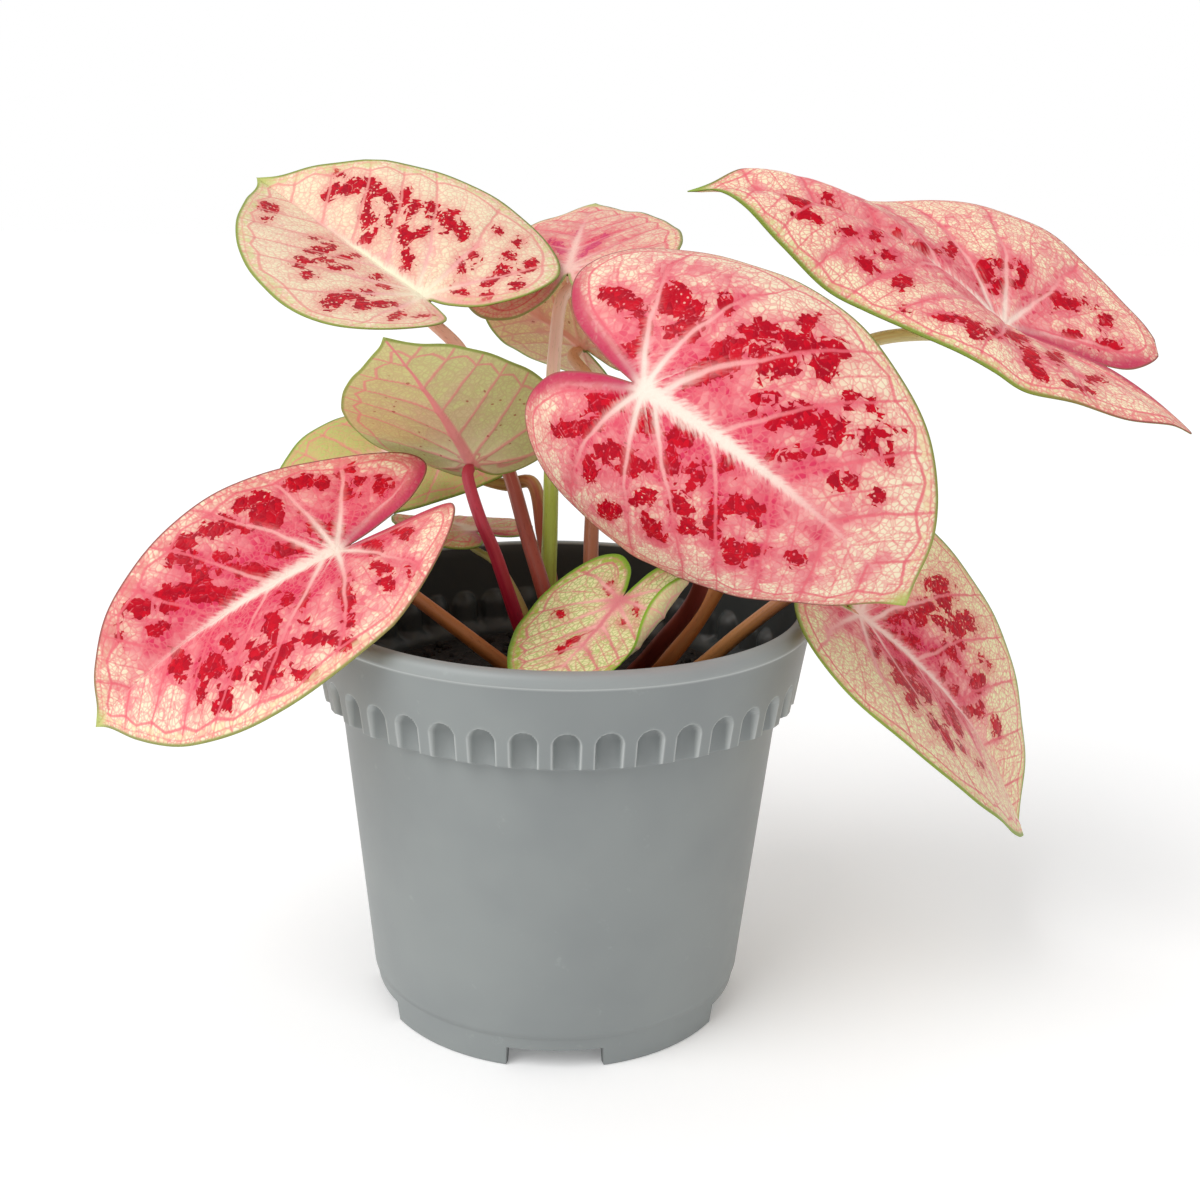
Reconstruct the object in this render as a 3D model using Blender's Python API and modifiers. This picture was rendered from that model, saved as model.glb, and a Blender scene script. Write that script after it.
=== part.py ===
"""A caladium in a fluted plastic nursery pot: pot, soil, and eleven leaves, each a stalk and a blade.

Metres, +Z up, -Y is the front. Sizes and places are set out from the middle of the pot's base, on the
plane of its feet, and the whole is then moved so that the origin lies under the middle of its bounding box.
"""
import math

import bmesh
import bpy
import numpy as np
from mathutils import Matrix

# where the pot's axis stands in the finished part
POT_AXIS = (-0.0247, -0.0033, 0.0)

# pot
FOOT_RADIUS = 0.0630
BODY_RADIUS = 0.0637
BODY_TAPER = 0.10
FOOT_RING_TOP = 0.0116
SHOULDER_BOTTOM = 0.1095
SHOULDER_TOP = 0.1110
BAND_BOTTOM_RADIUS = 0.0803
BAND_TOP_RADIUS = 0.0843
BAND_TOP = 0.1372
LIP_RADIUS = 0.0850
LIP_INNER_RADIUS = 0.0797
LIP_TOP = 0.1418
WALL = 0.0016
FLOOR_UNDERSIDE = 0.0070
FLOOR_TOP = 0.0086
FOOT_WALL = 0.0030
POT_STEPS = 40

# flutes round the band
FLUTE_COUNT = 40
FLUTE_RADIUS = 0.0042
FLUTE_AXIS_RADIUS = 0.0808
FLUTE_BOTTOM = 0.1055
FLUTE_ARCH_CENTRE = 0.1185
FLUTE_START = math.radians(1.5)
LINING_RADIUS = 0.0056
LINING_BACK = 0.0010
LINING_BOTTOM = 0.1107
ROD_SIDES = 8

# feet and drain holes
FOOT_GAPS = 5
FOOT_GAP_ANGLE = math.radians(29)
FOOT_GAP_HEIGHT = 0.0068
DRAIN_RADIUS = 0.0040
DRAIN_CIRCLE = 0.0420
DRAIN_COUNT = 5

# soil
SOIL_TOP = 0.1075
SOIL_CLEARANCE = 0.0004
SOIL_MOUND = 0.0015
SOIL_PITS = 0.0008
SOIL_RINGS = np.array((1.0, 0.84, 0.64, 0.44, 0.22))
SOIL_STEPS = 40
SOIL_SEED = 7
SOCKET_BOTTOM = 0.0950
STALK_FOOT = 0.0954
SOCKET_CLEARANCE = 0.0008
SOCKET_SIDES = 10

# blades and stalks
BLADE_THICKNESS = 0.0008
BLADE_ANGULAR_STEPS = 32
BLADE_RADIAL_STEPS = 4
STALK_FOOT_RADIUS = 0.0030
STALK_TOP_RADIUS = 0.0021
STALK_STEPS = 9
STALK_ROOT = 0.0040
STALK_NECK = (0.0, 0.0060)
STALK_GAP = 0.0010
STALK_END_RADIUS = 0.0012
SLIM_STALKS = {"small_back": (0.0018, 0.0012), "small_front": (0.0020, 0.0014), "middle": (0.0028, 0.0020)}

# how far behind and below its junction a stalk comes in, where that isn't from straight below
NECKS = {"right_low": (0.0080, 0.0035)}
# the gap under a blade whose halves fold down past its stalk, or that its stalk meets at a slant
WIDE_GAPS = {"front": 0.0022, "right_low": 0.0022, "small_front": 0.0014}

# half of a blade's flat outline as (sideways, forward) shares of the blade length, sinus to tip
OUTLINE = [(0.0, -0.035), (0.028, -0.15), (0.095, -0.29), (0.235, -0.375), (0.41, -0.315),
           (0.535, -0.12), (0.575, 0.12), (0.525, 0.38), (0.385, 0.64), (0.20, 0.84),
           (0.065, 0.955), (0.0, 1.04)]

# Each blade: where the stalk meets it, the compass heading of its midrib (0 = +X, anticlockwise), the
# pitch and roll of its plane there, and its form. Folds and curls are the angles of the two halves.
LEAVES = {
    "front": dict(junction=(0.0220, -0.0760, 0.2230), heading=-29, pitch=-24, roll=-56, length=0.104,
                  width=0.99, right=1.05, lobe=1.08, fold_right=-30, fold_left=25, open_right=13,
                  open_left=14, curl_right=-51, curl_left=-77, droop=64, back=20, twist=-11,
                  stalk=[(0.0210, -0.0090), (0.031, -0.016, 0.128), (0.044, -0.026, 0.1515),
                         (0.0455, -0.042, 0.184), (0.039, -0.057, 0.2055)]),
    "left_low": dict(junction=(-0.0720, -0.0260, 0.1625), heading=202, pitch=-22, roll=49,
                     length=0.102, width=0.88, right=0.75, lobe=1.03, fold_right=0, fold_left=50,
                     open_right=8, open_left=-6, curl_right=-27, curl_left=-33, droop=51, back=-10,
                     twist=31,
                     stalk=[(-0.0070, -0.0110), (-0.020, -0.012, 0.122), (-0.048, -0.014, 0.1445),
                            (-0.060, -0.015, 0.153)]),
    "left_top": dict(junction=(-0.0475, 0.0100, 0.2405), heading=138, pitch=22, roll=18, length=0.089,
                     width=0.99, right=1.08, lobe=0.88, fold_right=19, fold_left=21, open_right=10,
                     open_left=7, curl_right=-27, curl_left=-14, droop=-1, back=-20, twist=7,
                     stalk=[(0.0030, -0.0020), (-0.0057, 0.0010, 0.1420), (-0.0122, 0.0080, 0.1612),
                            (-0.0181, 0.0160, 0.1793), (-0.0248, 0.0180, 0.1954), (-0.0318, 0.0160, 0.2126),
                            (-0.0355, 0.0120, 0.2236)]),
    "right_low": dict(junction=(0.1010, -0.0040, 0.1380), heading=6, pitch=-36, roll=-39, length=0.121,
                      width=0.92, right=0.97, lobe=0.67, fold_right=22, fold_left=8, open_right=4,
                      open_left=4, curl_right=-3, curl_left=-20, droop=37, back=1, twist=-4,
                      stalk=[(0.0360, -0.0060), (0.047, -0.006, 0.119), (0.061, -0.006, 0.132),
                             (0.078, -0.005, 0.1453), (0.086, -0.004, 0.1450)]),
    "back_top": dict(junction=(0.0005, 0.0280, 0.2490), heading=83, pitch=23, roll=12, length=0.068,
                     width=0.99, right=1.00, lobe=1.00, fold_right=5, fold_left=4, open_right=-6,
                     open_left=-4, curl_right=-9, curl_left=-14, droop=12, back=10, twist=-6,
                     stalk=[(-0.0040, 0.0060), (-0.0048, 0.0130, 0.1405), (-0.0045, 0.0170, 0.1610),
                            (-0.0044, 0.0190, 0.1818), (-0.0045, 0.0220, 0.2055), (-0.0037, 0.0250, 0.2239),
                            (-0.0019, 0.0270, 0.2389)]),
    "back_low": dict(junction=(0.0060, 0.0560, 0.2200), heading=174, pitch=39, roll=-40, length=0.045,
                     width=1.11, right=1.02, lobe=1.00, fold_right=11, fold_left=8, open_right=-4,
                     open_left=9, curl_right=-3, curl_left=-15, droop=30, back=10, twist=-30,
                     stalk=[(0.0110, 0.0080), (0.010, 0.020, 0.153), (0.011, 0.034, 0.186),
                            (0.010, 0.041, 0.207)]),
    "middle": dict(junction=(-0.0305, -0.0030, 0.1875), heading=244, pitch=47, roll=-12, length=0.069,
                   width=0.91, right=1.08, lobe=0.58, fold_right=21, fold_left=29, open_right=-20,
                   open_left=-17, curl_right=-9, curl_left=-10, droop=14, back=-17, twist=-8,
                   stalk=[(-0.0060, -0.0030), (-0.014, -0.006, 0.133), (-0.022, -0.009, 0.158),
                          (-0.027, -0.012, 0.171)]),
    "left_back": dict(junction=(-0.0435, 0.0480, 0.1840), heading=189, pitch=-4, roll=22, length=0.067,
                      width=0.91, right=1.03, lobe=1.01, fold_right=0, fold_left=8, open_right=11,
                      open_left=0, curl_right=-31, curl_left=-12, droop=28, back=10, twist=24,
                      stalk=[(0.0030, 0.0140), (-0.0035, 0.0210, 0.1384), (-0.0070, 0.0270, 0.1568),
                             (-0.0109, 0.0320, 0.1741), (-0.0210, 0.0385, 0.1725),
                             (-0.0330, 0.0445, 0.1745)]),
    "small_back": dict(junction=(-0.0325, 0.0360, 0.1560), heading=132, pitch=4, roll=0, length=0.042,
                       width=1.01, right=1.00, lobe=0.96, fold_right=6, fold_left=7, open_right=-4,
                       open_left=0, curl_right=-11, curl_left=-14, droop=14, back=8, twist=-9,
                       stalk=[(-0.0080, 0.0120), (-0.012, 0.012, 0.130), (-0.022, 0.022, 0.146)]),
    "small_front": dict(junction=(0.0185, -0.0340, 0.1500), heading=231, pitch=-33, roll=11,
                        length=0.052, width=1.04, right=1.06, lobe=0.95, fold_right=-18, fold_left=21,
                        open_right=4, open_left=0, curl_right=0, curl_left=0, droop=-20, back=-10,
                        twist=0,
                        flat_left=0.38, roll_radius=0.0045,
                        stalk=[(0.0080, -0.0100), (0.011, -0.012, 0.120), (0.015, -0.018, 0.132)]),
}

# The folded blade at the top right is set out from its own margin instead: points along its far half
# and its near half, from the sinus round the lobe to the tip, and the rise of its midrib.
RIGHT_TOP_JUNCTION = (0.1464, 0.0150, 0.2340)
RIGHT_TOP_FORWARD = (-0.98, 0.03, 0.18)
RIGHT_TOP_UP = (0.10, -0.35, 0.93)
RIGHT_TOP_SINUS = (0.1515, 0.0145, 0.2325)
RIGHT_TOP_FAR = [(0.156, 0.014, 0.231), (0.166, 0.012, 0.227), (0.182, 0.012, 0.222),
                 (0.193, 0.015, 0.221), (0.203, 0.022, 0.225), (0.201, 0.030, 0.233),
                 (0.193, 0.036, 0.242), (0.182, 0.042, 0.253), (0.170, 0.045, 0.263),
                 (0.157, 0.047, 0.269), (0.143, 0.048, 0.273), (0.126, 0.048, 0.274),
                 (0.108, 0.046, 0.273), (0.093, 0.042, 0.274), (0.081, 0.037, 0.277),
                 (0.069, 0.032, 0.282), (0.058, 0.027, 0.285), (0.047, 0.022, 0.279),
                 (0.039, 0.018, 0.276)]
RIGHT_TOP_NEAR = [(0.156, 0.013, 0.231), (0.166, 0.008, 0.227), (0.178, 0.002, 0.223),
                  (0.190, -0.008, 0.215), (0.200, -0.020, 0.205), (0.192, -0.024, 0.208),
                  (0.176, -0.028, 0.210), (0.159, -0.030, 0.215), (0.143, -0.030, 0.218),
                  (0.133, -0.028, 0.224), (0.123, -0.025, 0.229), (0.108, -0.018, 0.235),
                  (0.095, -0.010, 0.240), (0.082, -0.004, 0.247), (0.068, 0.002, 0.260),
                  (0.057, 0.008, 0.271), (0.048, 0.014, 0.276), (0.039, 0.018, 0.276)]
RIGHT_TOP_RISE = 0.012
RIGHT_TOP_STALK = [(0.0270, 0.0010), (0.037, -0.002, 0.121), (0.051, 0.000, 0.142),
                   (0.072, 0.002, 0.186), (0.089, 0.004, 0.219), (0.100, 0.007, 0.229),
                   (0.122, 0.012, 0.2315)]

POT_COLOUR = (0.30, 0.33, 0.33)
SOIL_COLOUR = (0.020, 0.014, 0.010)
BLADE_COLOURS = {
    "front": (0.80, 0.30, 0.30), "left_low": (0.80, 0.33, 0.32), "left_top": (0.80, 0.66, 0.48),
    "right_top": (0.78, 0.38, 0.34), "right_low": (0.70, 0.50, 0.32), "back_top": (0.80, 0.48, 0.42),
    "back_low": (0.48, 0.34, 0.22), "middle": (0.46, 0.42, 0.20), "left_back": (0.55, 0.56, 0.28),
    "small_back": (0.52, 0.54, 0.28), "small_front": (0.58, 0.62, 0.32),
}
STALK_COLOURS = {
    "front": (0.22, 0.06, 0.03), "left_low": (0.35, 0.12, 0.05), "left_top": (0.25, 0.05, 0.03),
    "right_top": (0.35, 0.12, 0.04), "right_low": (0.48, 0.22, 0.08), "back_top": (0.35, 0.33, 0.06),
    "back_low": (0.20, 0.07, 0.03), "middle": (0.38, 0.01, 0.03), "left_back": (0.26, 0.07, 0.03),
    "small_back": (0.36, 0.20, 0.04), "small_front": (0.40, 0.38, 0.12),
}


def clear_scene():
    for item in list(bpy.data.objects):
        bpy.data.objects.remove(item)


def new_collection(name):
    group = bpy.data.collections.new(name)
    bpy.context.scene.collection.children.link(group)
    return group


def new_material(name, colour, roughness):
    material = bpy.data.materials.new(name)
    material.use_nodes = True
    shader = material.node_tree.nodes["Principled BSDF"]
    shader.inputs["Base Color"].default_value = (*colour, 1.0)
    shader.inputs["Roughness"].default_value = roughness
    material.diffuse_color = (*colour, 1.0)
    return material


def add_object(name, data, group):
    data.transform(Matrix.Translation(POT_AXIS))
    item = bpy.data.objects.new(name, data)
    group.objects.link(item)
    return item


def mesh_from_bmesh(name, work):
    data = bpy.data.meshes.new(name)
    bmesh.ops.recalc_face_normals(work, faces=work.faces)
    work.to_mesh(data)
    work.free()
    return data


def hide_helper(item):
    item.hide_render = True
    item.display_type = "WIRE"


def boolean(target, cutter, operation):
    modifier = target.modifiers.new(cutter.name, "BOOLEAN")
    modifier.operation = operation
    modifier.solver = "EXACT"
    modifier.object = cutter


def capped_round(profile, steps):
    """An open (radius, height) profile that starts and ends on the axis, swept round Z."""
    work = bmesh.new()
    first = work.verts.new((0, 0, profile[0][1]))
    last = work.verts.new((0, 0, profile[-1][1]))
    rows = []
    for step in range(steps):
        turn = 2 * math.pi * step / steps
        rows.append([work.verts.new((r * math.cos(turn), r * math.sin(turn), z)) for r, z in profile[1:-1]])
    for step in range(steps):
        here, there = rows[step], rows[(step + 1) % steps]
        work.faces.new((first, here[0], there[0]))
        work.faces.new((last, there[-1], here[-1]))
        for i in range(len(here) - 1):
            work.faces.new((here[i], there[i], there[i + 1], here[i + 1]))
    return work


def body_radius(z):
    return BODY_RADIUS + BODY_TAPER * z


def pot_profile():
    """The pot's outline on one side, from the axis under the floor, up the outside and down the inside."""
    inner_shoulder = BAND_BOTTOM_RADIUS - WALL
    return [
        (0, FLOOR_UNDERSIDE),
        (FOOT_RADIUS - FOOT_WALL, FLOOR_UNDERSIDE),
        (FOOT_RADIUS - FOOT_WALL, 0),
        (FOOT_RADIUS - 0.0004, 0),
        (FOOT_RADIUS, 0.0006),
        (FOOT_RADIUS + BODY_TAPER * FOOT_RING_TOP, FOOT_RING_TOP - 0.0003),
        (body_radius(FOOT_RING_TOP), FOOT_RING_TOP + 0.0003),
        (body_radius(SHOULDER_BOTTOM), SHOULDER_BOTTOM),
        (BAND_BOTTOM_RADIUS - 0.0004, SHOULDER_BOTTOM + 0.0006),
        (BAND_BOTTOM_RADIUS, SHOULDER_TOP),
        (BAND_TOP_RADIUS, BAND_TOP),
        (LIP_RADIUS, BAND_TOP + 0.0004),
        (LIP_RADIUS - 0.0002, BAND_TOP + 0.0020),
        (LIP_RADIUS - 0.0015, LIP_TOP - 0.0006),
        (LIP_RADIUS - 0.0030, LIP_TOP),
        (LIP_INNER_RADIUS + 0.0008, LIP_TOP),
        (LIP_INNER_RADIUS, LIP_TOP - 0.0008),
        (inner_shoulder, SHOULDER_TOP + 0.0010),
        (body_radius(SHOULDER_TOP) - WALL, SHOULDER_TOP + 0.0004),
        (body_radius(FLOOR_TOP) - WALL, FLOOR_TOP),
        (0, FLOOR_TOP),
    ]


def rod_row(name, rings, first_side, last_side, back, group):
    """Upright rods with domed tops, one at each flute, from (radius, height) rings.

    back moves the ends of a part-round rod's section to that depth inside the flute axis.
    """
    work = bmesh.new()
    for index in range(FLUTE_COUNT):
        turn = FLUTE_START + 2 * math.pi * index / FLUTE_COUNT - math.pi / 2
        outward = np.array((math.cos(turn), math.sin(turn), 0))
        along = np.array((-math.sin(turn), math.cos(turn), 0))
        rows = []
        for r, z in rings:
            row = []
            for side in range(first_side, last_side + 1):
                angle = 2 * math.pi * side / ROD_SIDES
                out = min(r * math.cos(angle), -back) if back else r * math.cos(angle)
                point = outward * (FLUTE_AXIS_RADIUS + out) + along * r * math.sin(angle)
                row.append(work.verts.new((point[0], point[1], z)))
            rows.append(row)
        for low, high in zip(rows, rows[1:]):
            for i in range(len(low)):
                j = (i + 1) % len(low)
                work.faces.new((low[i], low[j], high[j], high[i]))
        work.faces.new(rows[0][::-1])
        work.faces.new(rows[-1])
    item = add_object(name, mesh_from_bmesh(name, work), group)
    hide_helper(item)
    return item


def dome_rings(radius, bottom):
    return [(radius, bottom), (radius, FLUTE_ARCH_CENTRE),
            (radius * 0.72, FLUTE_ARCH_CENTRE + radius * 0.70),
            (radius * 0.30, FLUTE_ARCH_CENTRE + radius * 0.95)]


def foot_gaps(group):
    """Wedges that part the foot ring into its feet."""
    work = bmesh.new()
    inner, outer = FOOT_RADIUS - FOOT_WALL - 0.001, (FOOT_RADIUS + 0.002) * 1.04
    for index in range(FOOT_GAPS):
        middle = 2 * math.pi * index / FOOT_GAPS - math.pi / 2
        loops = []
        for z in (-0.002, FOOT_GAP_HEIGHT):
            loop = []
            for r, side in ((inner, -1), (outer, -1), (outer, 0), (outer, 1), (inner, 1)):
                angle = middle + side * FOOT_GAP_ANGLE / 2
                loop.append(work.verts.new((r * math.cos(angle), r * math.sin(angle), z)))
            loops.append(loop)
        low, high = loops
        work.faces.new(low[::-1])
        work.faces.new(high)
        for i in range(5):
            j = (i + 1) % 5
            work.faces.new((low[i], low[j], high[j], high[i]))
    item = add_object("foot_gaps", mesh_from_bmesh("foot_gaps", work), group)
    hide_helper(item)
    return item


def drain_holes(group):
    work = bmesh.new()
    for index in range(DRAIN_COUNT):
        turn = 2 * math.pi * (index + 0.5) / DRAIN_COUNT - math.pi / 2
        made = bmesh.ops.create_cone(work, cap_ends=True, segments=16, radius1=DRAIN_RADIUS,
                                     radius2=DRAIN_RADIUS, depth=0.01)
        centre = (DRAIN_CIRCLE * math.cos(turn), DRAIN_CIRCLE * math.sin(turn), FLOOR_TOP)
        bmesh.ops.translate(work, verts=made["verts"], vec=centre)
    item = add_object("drain_holes", mesh_from_bmesh("drain_holes", work), group)
    hide_helper(item)
    return item


def build_pot(parts, helpers):
    work = capped_round(pot_profile(), POT_STEPS)
    pot = add_object("pot", mesh_from_bmesh("pot", work), parts)
    quarter = ROD_SIDES // 4
    lining = rod_row("flute_lining", dome_rings(LINING_RADIUS, LINING_BOTTOM), quarter, 3 * quarter,
                     LINING_BACK, helpers)
    flutes = rod_row("flutes", dome_rings(FLUTE_RADIUS, FLUTE_BOTTOM), 0, ROD_SIDES - 1, 0, helpers)
    boolean(pot, lining, "UNION")
    boolean(pot, flutes, "DIFFERENCE")
    boolean(pot, foot_gaps(helpers), "DIFFERENCE")
    boolean(pot, drain_holes(helpers), "DIFFERENCE")
    pot.data.materials.append(new_material("pot_plastic", POT_COLOUR, 0.45))


def build_soil(parts, helpers):
    """A plug that fills the pot, its top gently mounded and pitted, with a plain socket for each stalk."""
    random = np.random.default_rng(SOIL_SEED)
    radii = SOIL_RINGS * (body_radius(SOIL_TOP) - WALL - SOIL_CLEARANCE)
    profile = [(0, FLOOR_TOP + SOIL_CLEARANCE),
               (body_radius(FLOOR_TOP) - WALL - 2 * SOIL_CLEARANCE, FLOOR_TOP + SOIL_CLEARANCE)]
    profile += [(r, SOIL_TOP + SOIL_MOUND * (1 - r / radii[0])) for r in radii]
    profile.append((0, SOIL_TOP + SOIL_MOUND))
    work = capped_round(profile, SOIL_STEPS)
    for vertex in work.verts:
        reach = math.hypot(vertex.co.x, vertex.co.y)
        if vertex.co.z > SOIL_TOP - 0.001 and reach < radii[0] - 0.001:
            vertex.co.z += random.uniform(-SOIL_PITS, SOIL_PITS)
    soil = add_object("soil", mesh_from_bmesh("soil", work), parts)
    boolean(soil, stalk_sockets(helpers), "DIFFERENCE")
    soil.data.materials.append(new_material("potting_soil", SOIL_COLOUR, 0.95))


def stalk_sockets(group):
    work = bmesh.new()
    depth = SOIL_TOP + 0.008 - SOCKET_BOTTOM
    roots = {name: leaf["stalk"][0] for name, leaf in LEAVES.items()}
    roots["right_top"] = RIGHT_TOP_STALK[0]
    for name, root in roots.items():
        radius = stalk_radii(name)[0] + SOCKET_CLEARANCE
        made = bmesh.ops.create_cone(work, cap_ends=True, segments=SOCKET_SIDES, depth=depth,
                                     radius1=radius, radius2=radius)
        bmesh.ops.translate(work, verts=made["verts"], vec=(*root, SOCKET_BOTTOM + depth / 2))
    item = add_object("stalk_sockets", mesh_from_bmesh("stalk_sockets", work), group)
    hide_helper(item)
    return item


def stalk_radii(name):
    """A stalk's radius at its foot and under its blade."""
    return SLIM_STALKS.get(name, (STALK_FOOT_RADIUS, STALK_TOP_RADIUS))


def smooth_curve(points, count):
    """Evenly spaced points on a Catmull-Rom curve through the given ones."""
    points = np.asarray(points, dtype=float)
    ends = np.vstack([2 * points[0] - points[1], points, 2 * points[-1] - points[-2]])
    t = np.linspace(0, 1, 24, endpoint=False)[:, None]
    pieces = []
    for p0, p1, p2, p3 in zip(ends, ends[1:], ends[2:], ends[3:]):
        pieces.append(0.5 * (2 * p1 + (p2 - p0) * t + (2 * p0 - 5 * p1 + 4 * p2 - p3) * t ** 2
                             + (3 * p1 - p0 - 3 * p2 + p3) * t ** 3))
    dense = np.vstack(pieces + [points[-1:]])
    length = np.concatenate([[0], np.cumsum(np.linalg.norm(np.diff(dense, axis=0), axis=1))])
    wanted = np.linspace(0, length[-1], count)
    return np.stack([np.interp(wanted, length, column) for column in dense.T], axis=1)


def leaf_axes(leaf):
    """Unit vectors along the midrib, to its right and out of its upper face, where the stalk joins."""
    heading, pitch, roll = (math.radians(leaf[key]) for key in ("heading", "pitch", "roll"))
    forward = np.array((math.cos(heading) * math.cos(pitch), math.sin(heading) * math.cos(pitch),
                        math.sin(pitch)))
    level = np.array((math.sin(heading), -math.cos(heading), 0))
    lifted = np.cross(level, forward)
    right = level * math.cos(roll) + lifted * math.sin(roll)
    up = lifted * math.cos(roll) - level * math.sin(roll)
    return forward, right, up


def flat_outline(leaf):
    """The flat blade's edge as (sideways, forward), from the sinus up its right half and back."""
    half = np.array(OUTLINE)
    half[:, 0] *= leaf["width"]
    half[half[:, 1] < 0, 1] *= leaf["lobe"]
    right = smooth_curve(half, BLADE_ANGULAR_STEPS // 2 + 1)
    left = right * (-1, 1)
    right = right * (leaf["right"], 1)
    return np.vstack([right, left[::-1][1:-1]]) * leaf["length"]


def arc(angle, bend_per_metre, distance):
    """Across and up along a line that starts at an angle and bends evenly."""
    bend = np.where(np.abs(bend_per_metre) < 1e-4, 1e-4, bend_per_metre)
    across = (np.sin(angle + bend * distance) - np.sin(angle)) / bend
    rise = (np.cos(angle) - np.cos(angle + bend * distance)) / bend
    return across, rise


def shaped(leaf, sideways, forward):
    """Carries flat points to the leaf's shape: each half folds and curls, the midrib droops and twists."""
    length = leaf["length"]
    is_right = sideways >= 0
    reach = np.abs(sideways)
    share = forward / length
    fold = np.radians(np.where(is_right, leaf["fold_right"] + leaf["open_right"] * share,
                               leaf["fold_left"] + leaf["open_left"] * share))
    curl = np.radians(np.where(is_right, leaf["curl_right"], leaf["curl_left"])) / (0.55 * length)
    across, rise = arc(fold, curl, reach)
    if "roll_radius" in leaf:
        flat = leaf["flat_left"] * length
        angle = math.radians(leaf["fold_left"])
        past, lift = arc(angle, 1 / leaf["roll_radius"], np.clip(reach - flat, 0, None))
        across = np.where(is_right, across, np.minimum(reach, flat) * math.cos(angle) + past)
        rise = np.where(is_right, rise, np.minimum(reach, flat) * math.sin(angle) + lift)
    across = across * np.sign(sideways)
    turn = math.radians(leaf["twist"]) * share
    aside = across * np.cos(turn) - rise * np.sin(turn)
    above = across * np.sin(turn) + rise * np.cos(turn)
    droop = np.where(forward >= 0, math.radians(leaf["droop"]) / length,
                     math.radians(leaf["back"]) / (0.38 * length))
    ahead, sag = arc(0.0, droop, forward)
    tilt = droop * forward
    out = np.stack([ahead + np.sin(tilt) * above, aside, np.cos(tilt) * above - sag], axis=-1)
    return out @ np.stack(leaf_axes(leaf)) + np.array(leaf["junction"])


def right_top_edge():
    """The folded blade's edge, evenly spaced, far half first."""
    far = smooth_curve([RIGHT_TOP_SINUS] + RIGHT_TOP_FAR, BLADE_ANGULAR_STEPS // 2 + 1)
    near = smooth_curve([RIGHT_TOP_SINUS] + RIGHT_TOP_NEAR, BLADE_ANGULAR_STEPS // 2 + 1)
    return np.vstack([far, near[::-1][1:-1]])


def blade_rings(name):
    """Rings of points from the stalk's top out to the blade's edge."""
    shares = np.linspace(0, 1, BLADE_RADIAL_STEPS + 1)[1:]
    if name == "right_top":
        centre = np.array(RIGHT_TOP_JUNCTION)
        edge = right_top_edge()
        near_midrib = 0.5 - 0.5 * np.cos(2 * math.pi * np.arange(len(edge)) / len(edge))
        arch = np.outer(4 * shares * (1 - shares), RIGHT_TOP_RISE * near_midrib)
        rings = centre + shares[:, None, None] * (edge - centre)
        rings[:, :, 2] += arch
        return centre, rings
    leaf = LEAVES[name]
    edge = flat_outline(leaf)
    rings = np.stack([shaped(leaf, edge[:, 0] * share, edge[:, 1] * share) for share in shares])
    return np.array(leaf["junction"]), rings


def build_blade(name, parts):
    centre, rings = blade_rings(name)
    work = bmesh.new()
    hub = work.verts.new(centre)
    rows = [[work.verts.new(point) for point in row] for row in rings]
    count = len(rows[0])
    for i in range(count):
        j = (i + 1) % count
        work.faces.new((hub, rows[0][j], rows[0][i]))
        for low, high in zip(rows, rows[1:]):
            work.faces.new((low[i], low[j], high[j]))
            work.faces.new((low[i], high[j], high[i]))
    data = bpy.data.meshes.new("blade_" + name)
    work.to_mesh(data)
    work.free()
    blade = add_object("blade_" + name, data, parts)
    thicken = blade.modifiers.new("thickness", "SOLIDIFY")
    thicken.thickness = BLADE_THICKNESS
    thicken.offset = 0
    blade.data.materials.append(new_material("blade_" + name, BLADE_COLOURS[name], 0.5))


def stalk_path(name):
    """From the stalk's foot in the soil, through its set points, to just under its blade."""
    if name == "right_top":
        points, junction = RIGHT_TOP_STALK, np.array(RIGHT_TOP_JUNCTION)
        forward, up = np.array(RIGHT_TOP_FORWARD), np.array(RIGHT_TOP_UP)
    else:
        points, junction = LEAVES[name]["stalk"], np.array(LEAVES[name]["junction"])
        forward, _, up = leaf_axes(LEAVES[name])
    behind, below = NECKS.get(name, STALK_NECK)
    x, y = points[0]
    root = (x, y, SOIL_TOP + STALK_ROOT)
    bend = smooth_curve([root] + points[1:] + [tuple(junction - up * below - forward * behind)],
                        STALK_STEPS)
    return np.vstack([(x, y, STALK_FOOT), bend, junction - up * WIDE_GAPS.get(name, STALK_GAP)])


def build_stalk(name, parts):
    path = stalk_path(name)
    foot, top = stalk_radii(name)
    curve = bpy.data.curves.new("stalk_" + name, "CURVE")
    curve.dimensions = "3D"
    curve.bevel_depth = 1.0
    curve.bevel_resolution = 2
    curve.render_resolution_u = 0
    curve.use_fill_caps = True
    spline = curve.splines.new("POLY")
    spline.points.add(len(path) - 1)
    radii = np.append(np.linspace(foot, top, len(path) - 1), STALK_END_RADIUS)
    for spot, point, radius in zip(spline.points, path, radii):
        spot.co = (*point, 1.0)
        spot.radius = radius
    stalk = add_object("stalk_" + name, curve, parts)
    stalk.data.materials.append(new_material("stalk_" + name, STALK_COLOURS[name], 0.5))


def main():
    clear_scene()
    parts = new_collection("caladium")
    helpers = new_collection("cutters")
    build_pot(parts, helpers)
    build_soil(parts, helpers)
    for name in BLADE_COLOURS:
        build_blade(name, parts)
        build_stalk(name, parts)


main()
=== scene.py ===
import math

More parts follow.
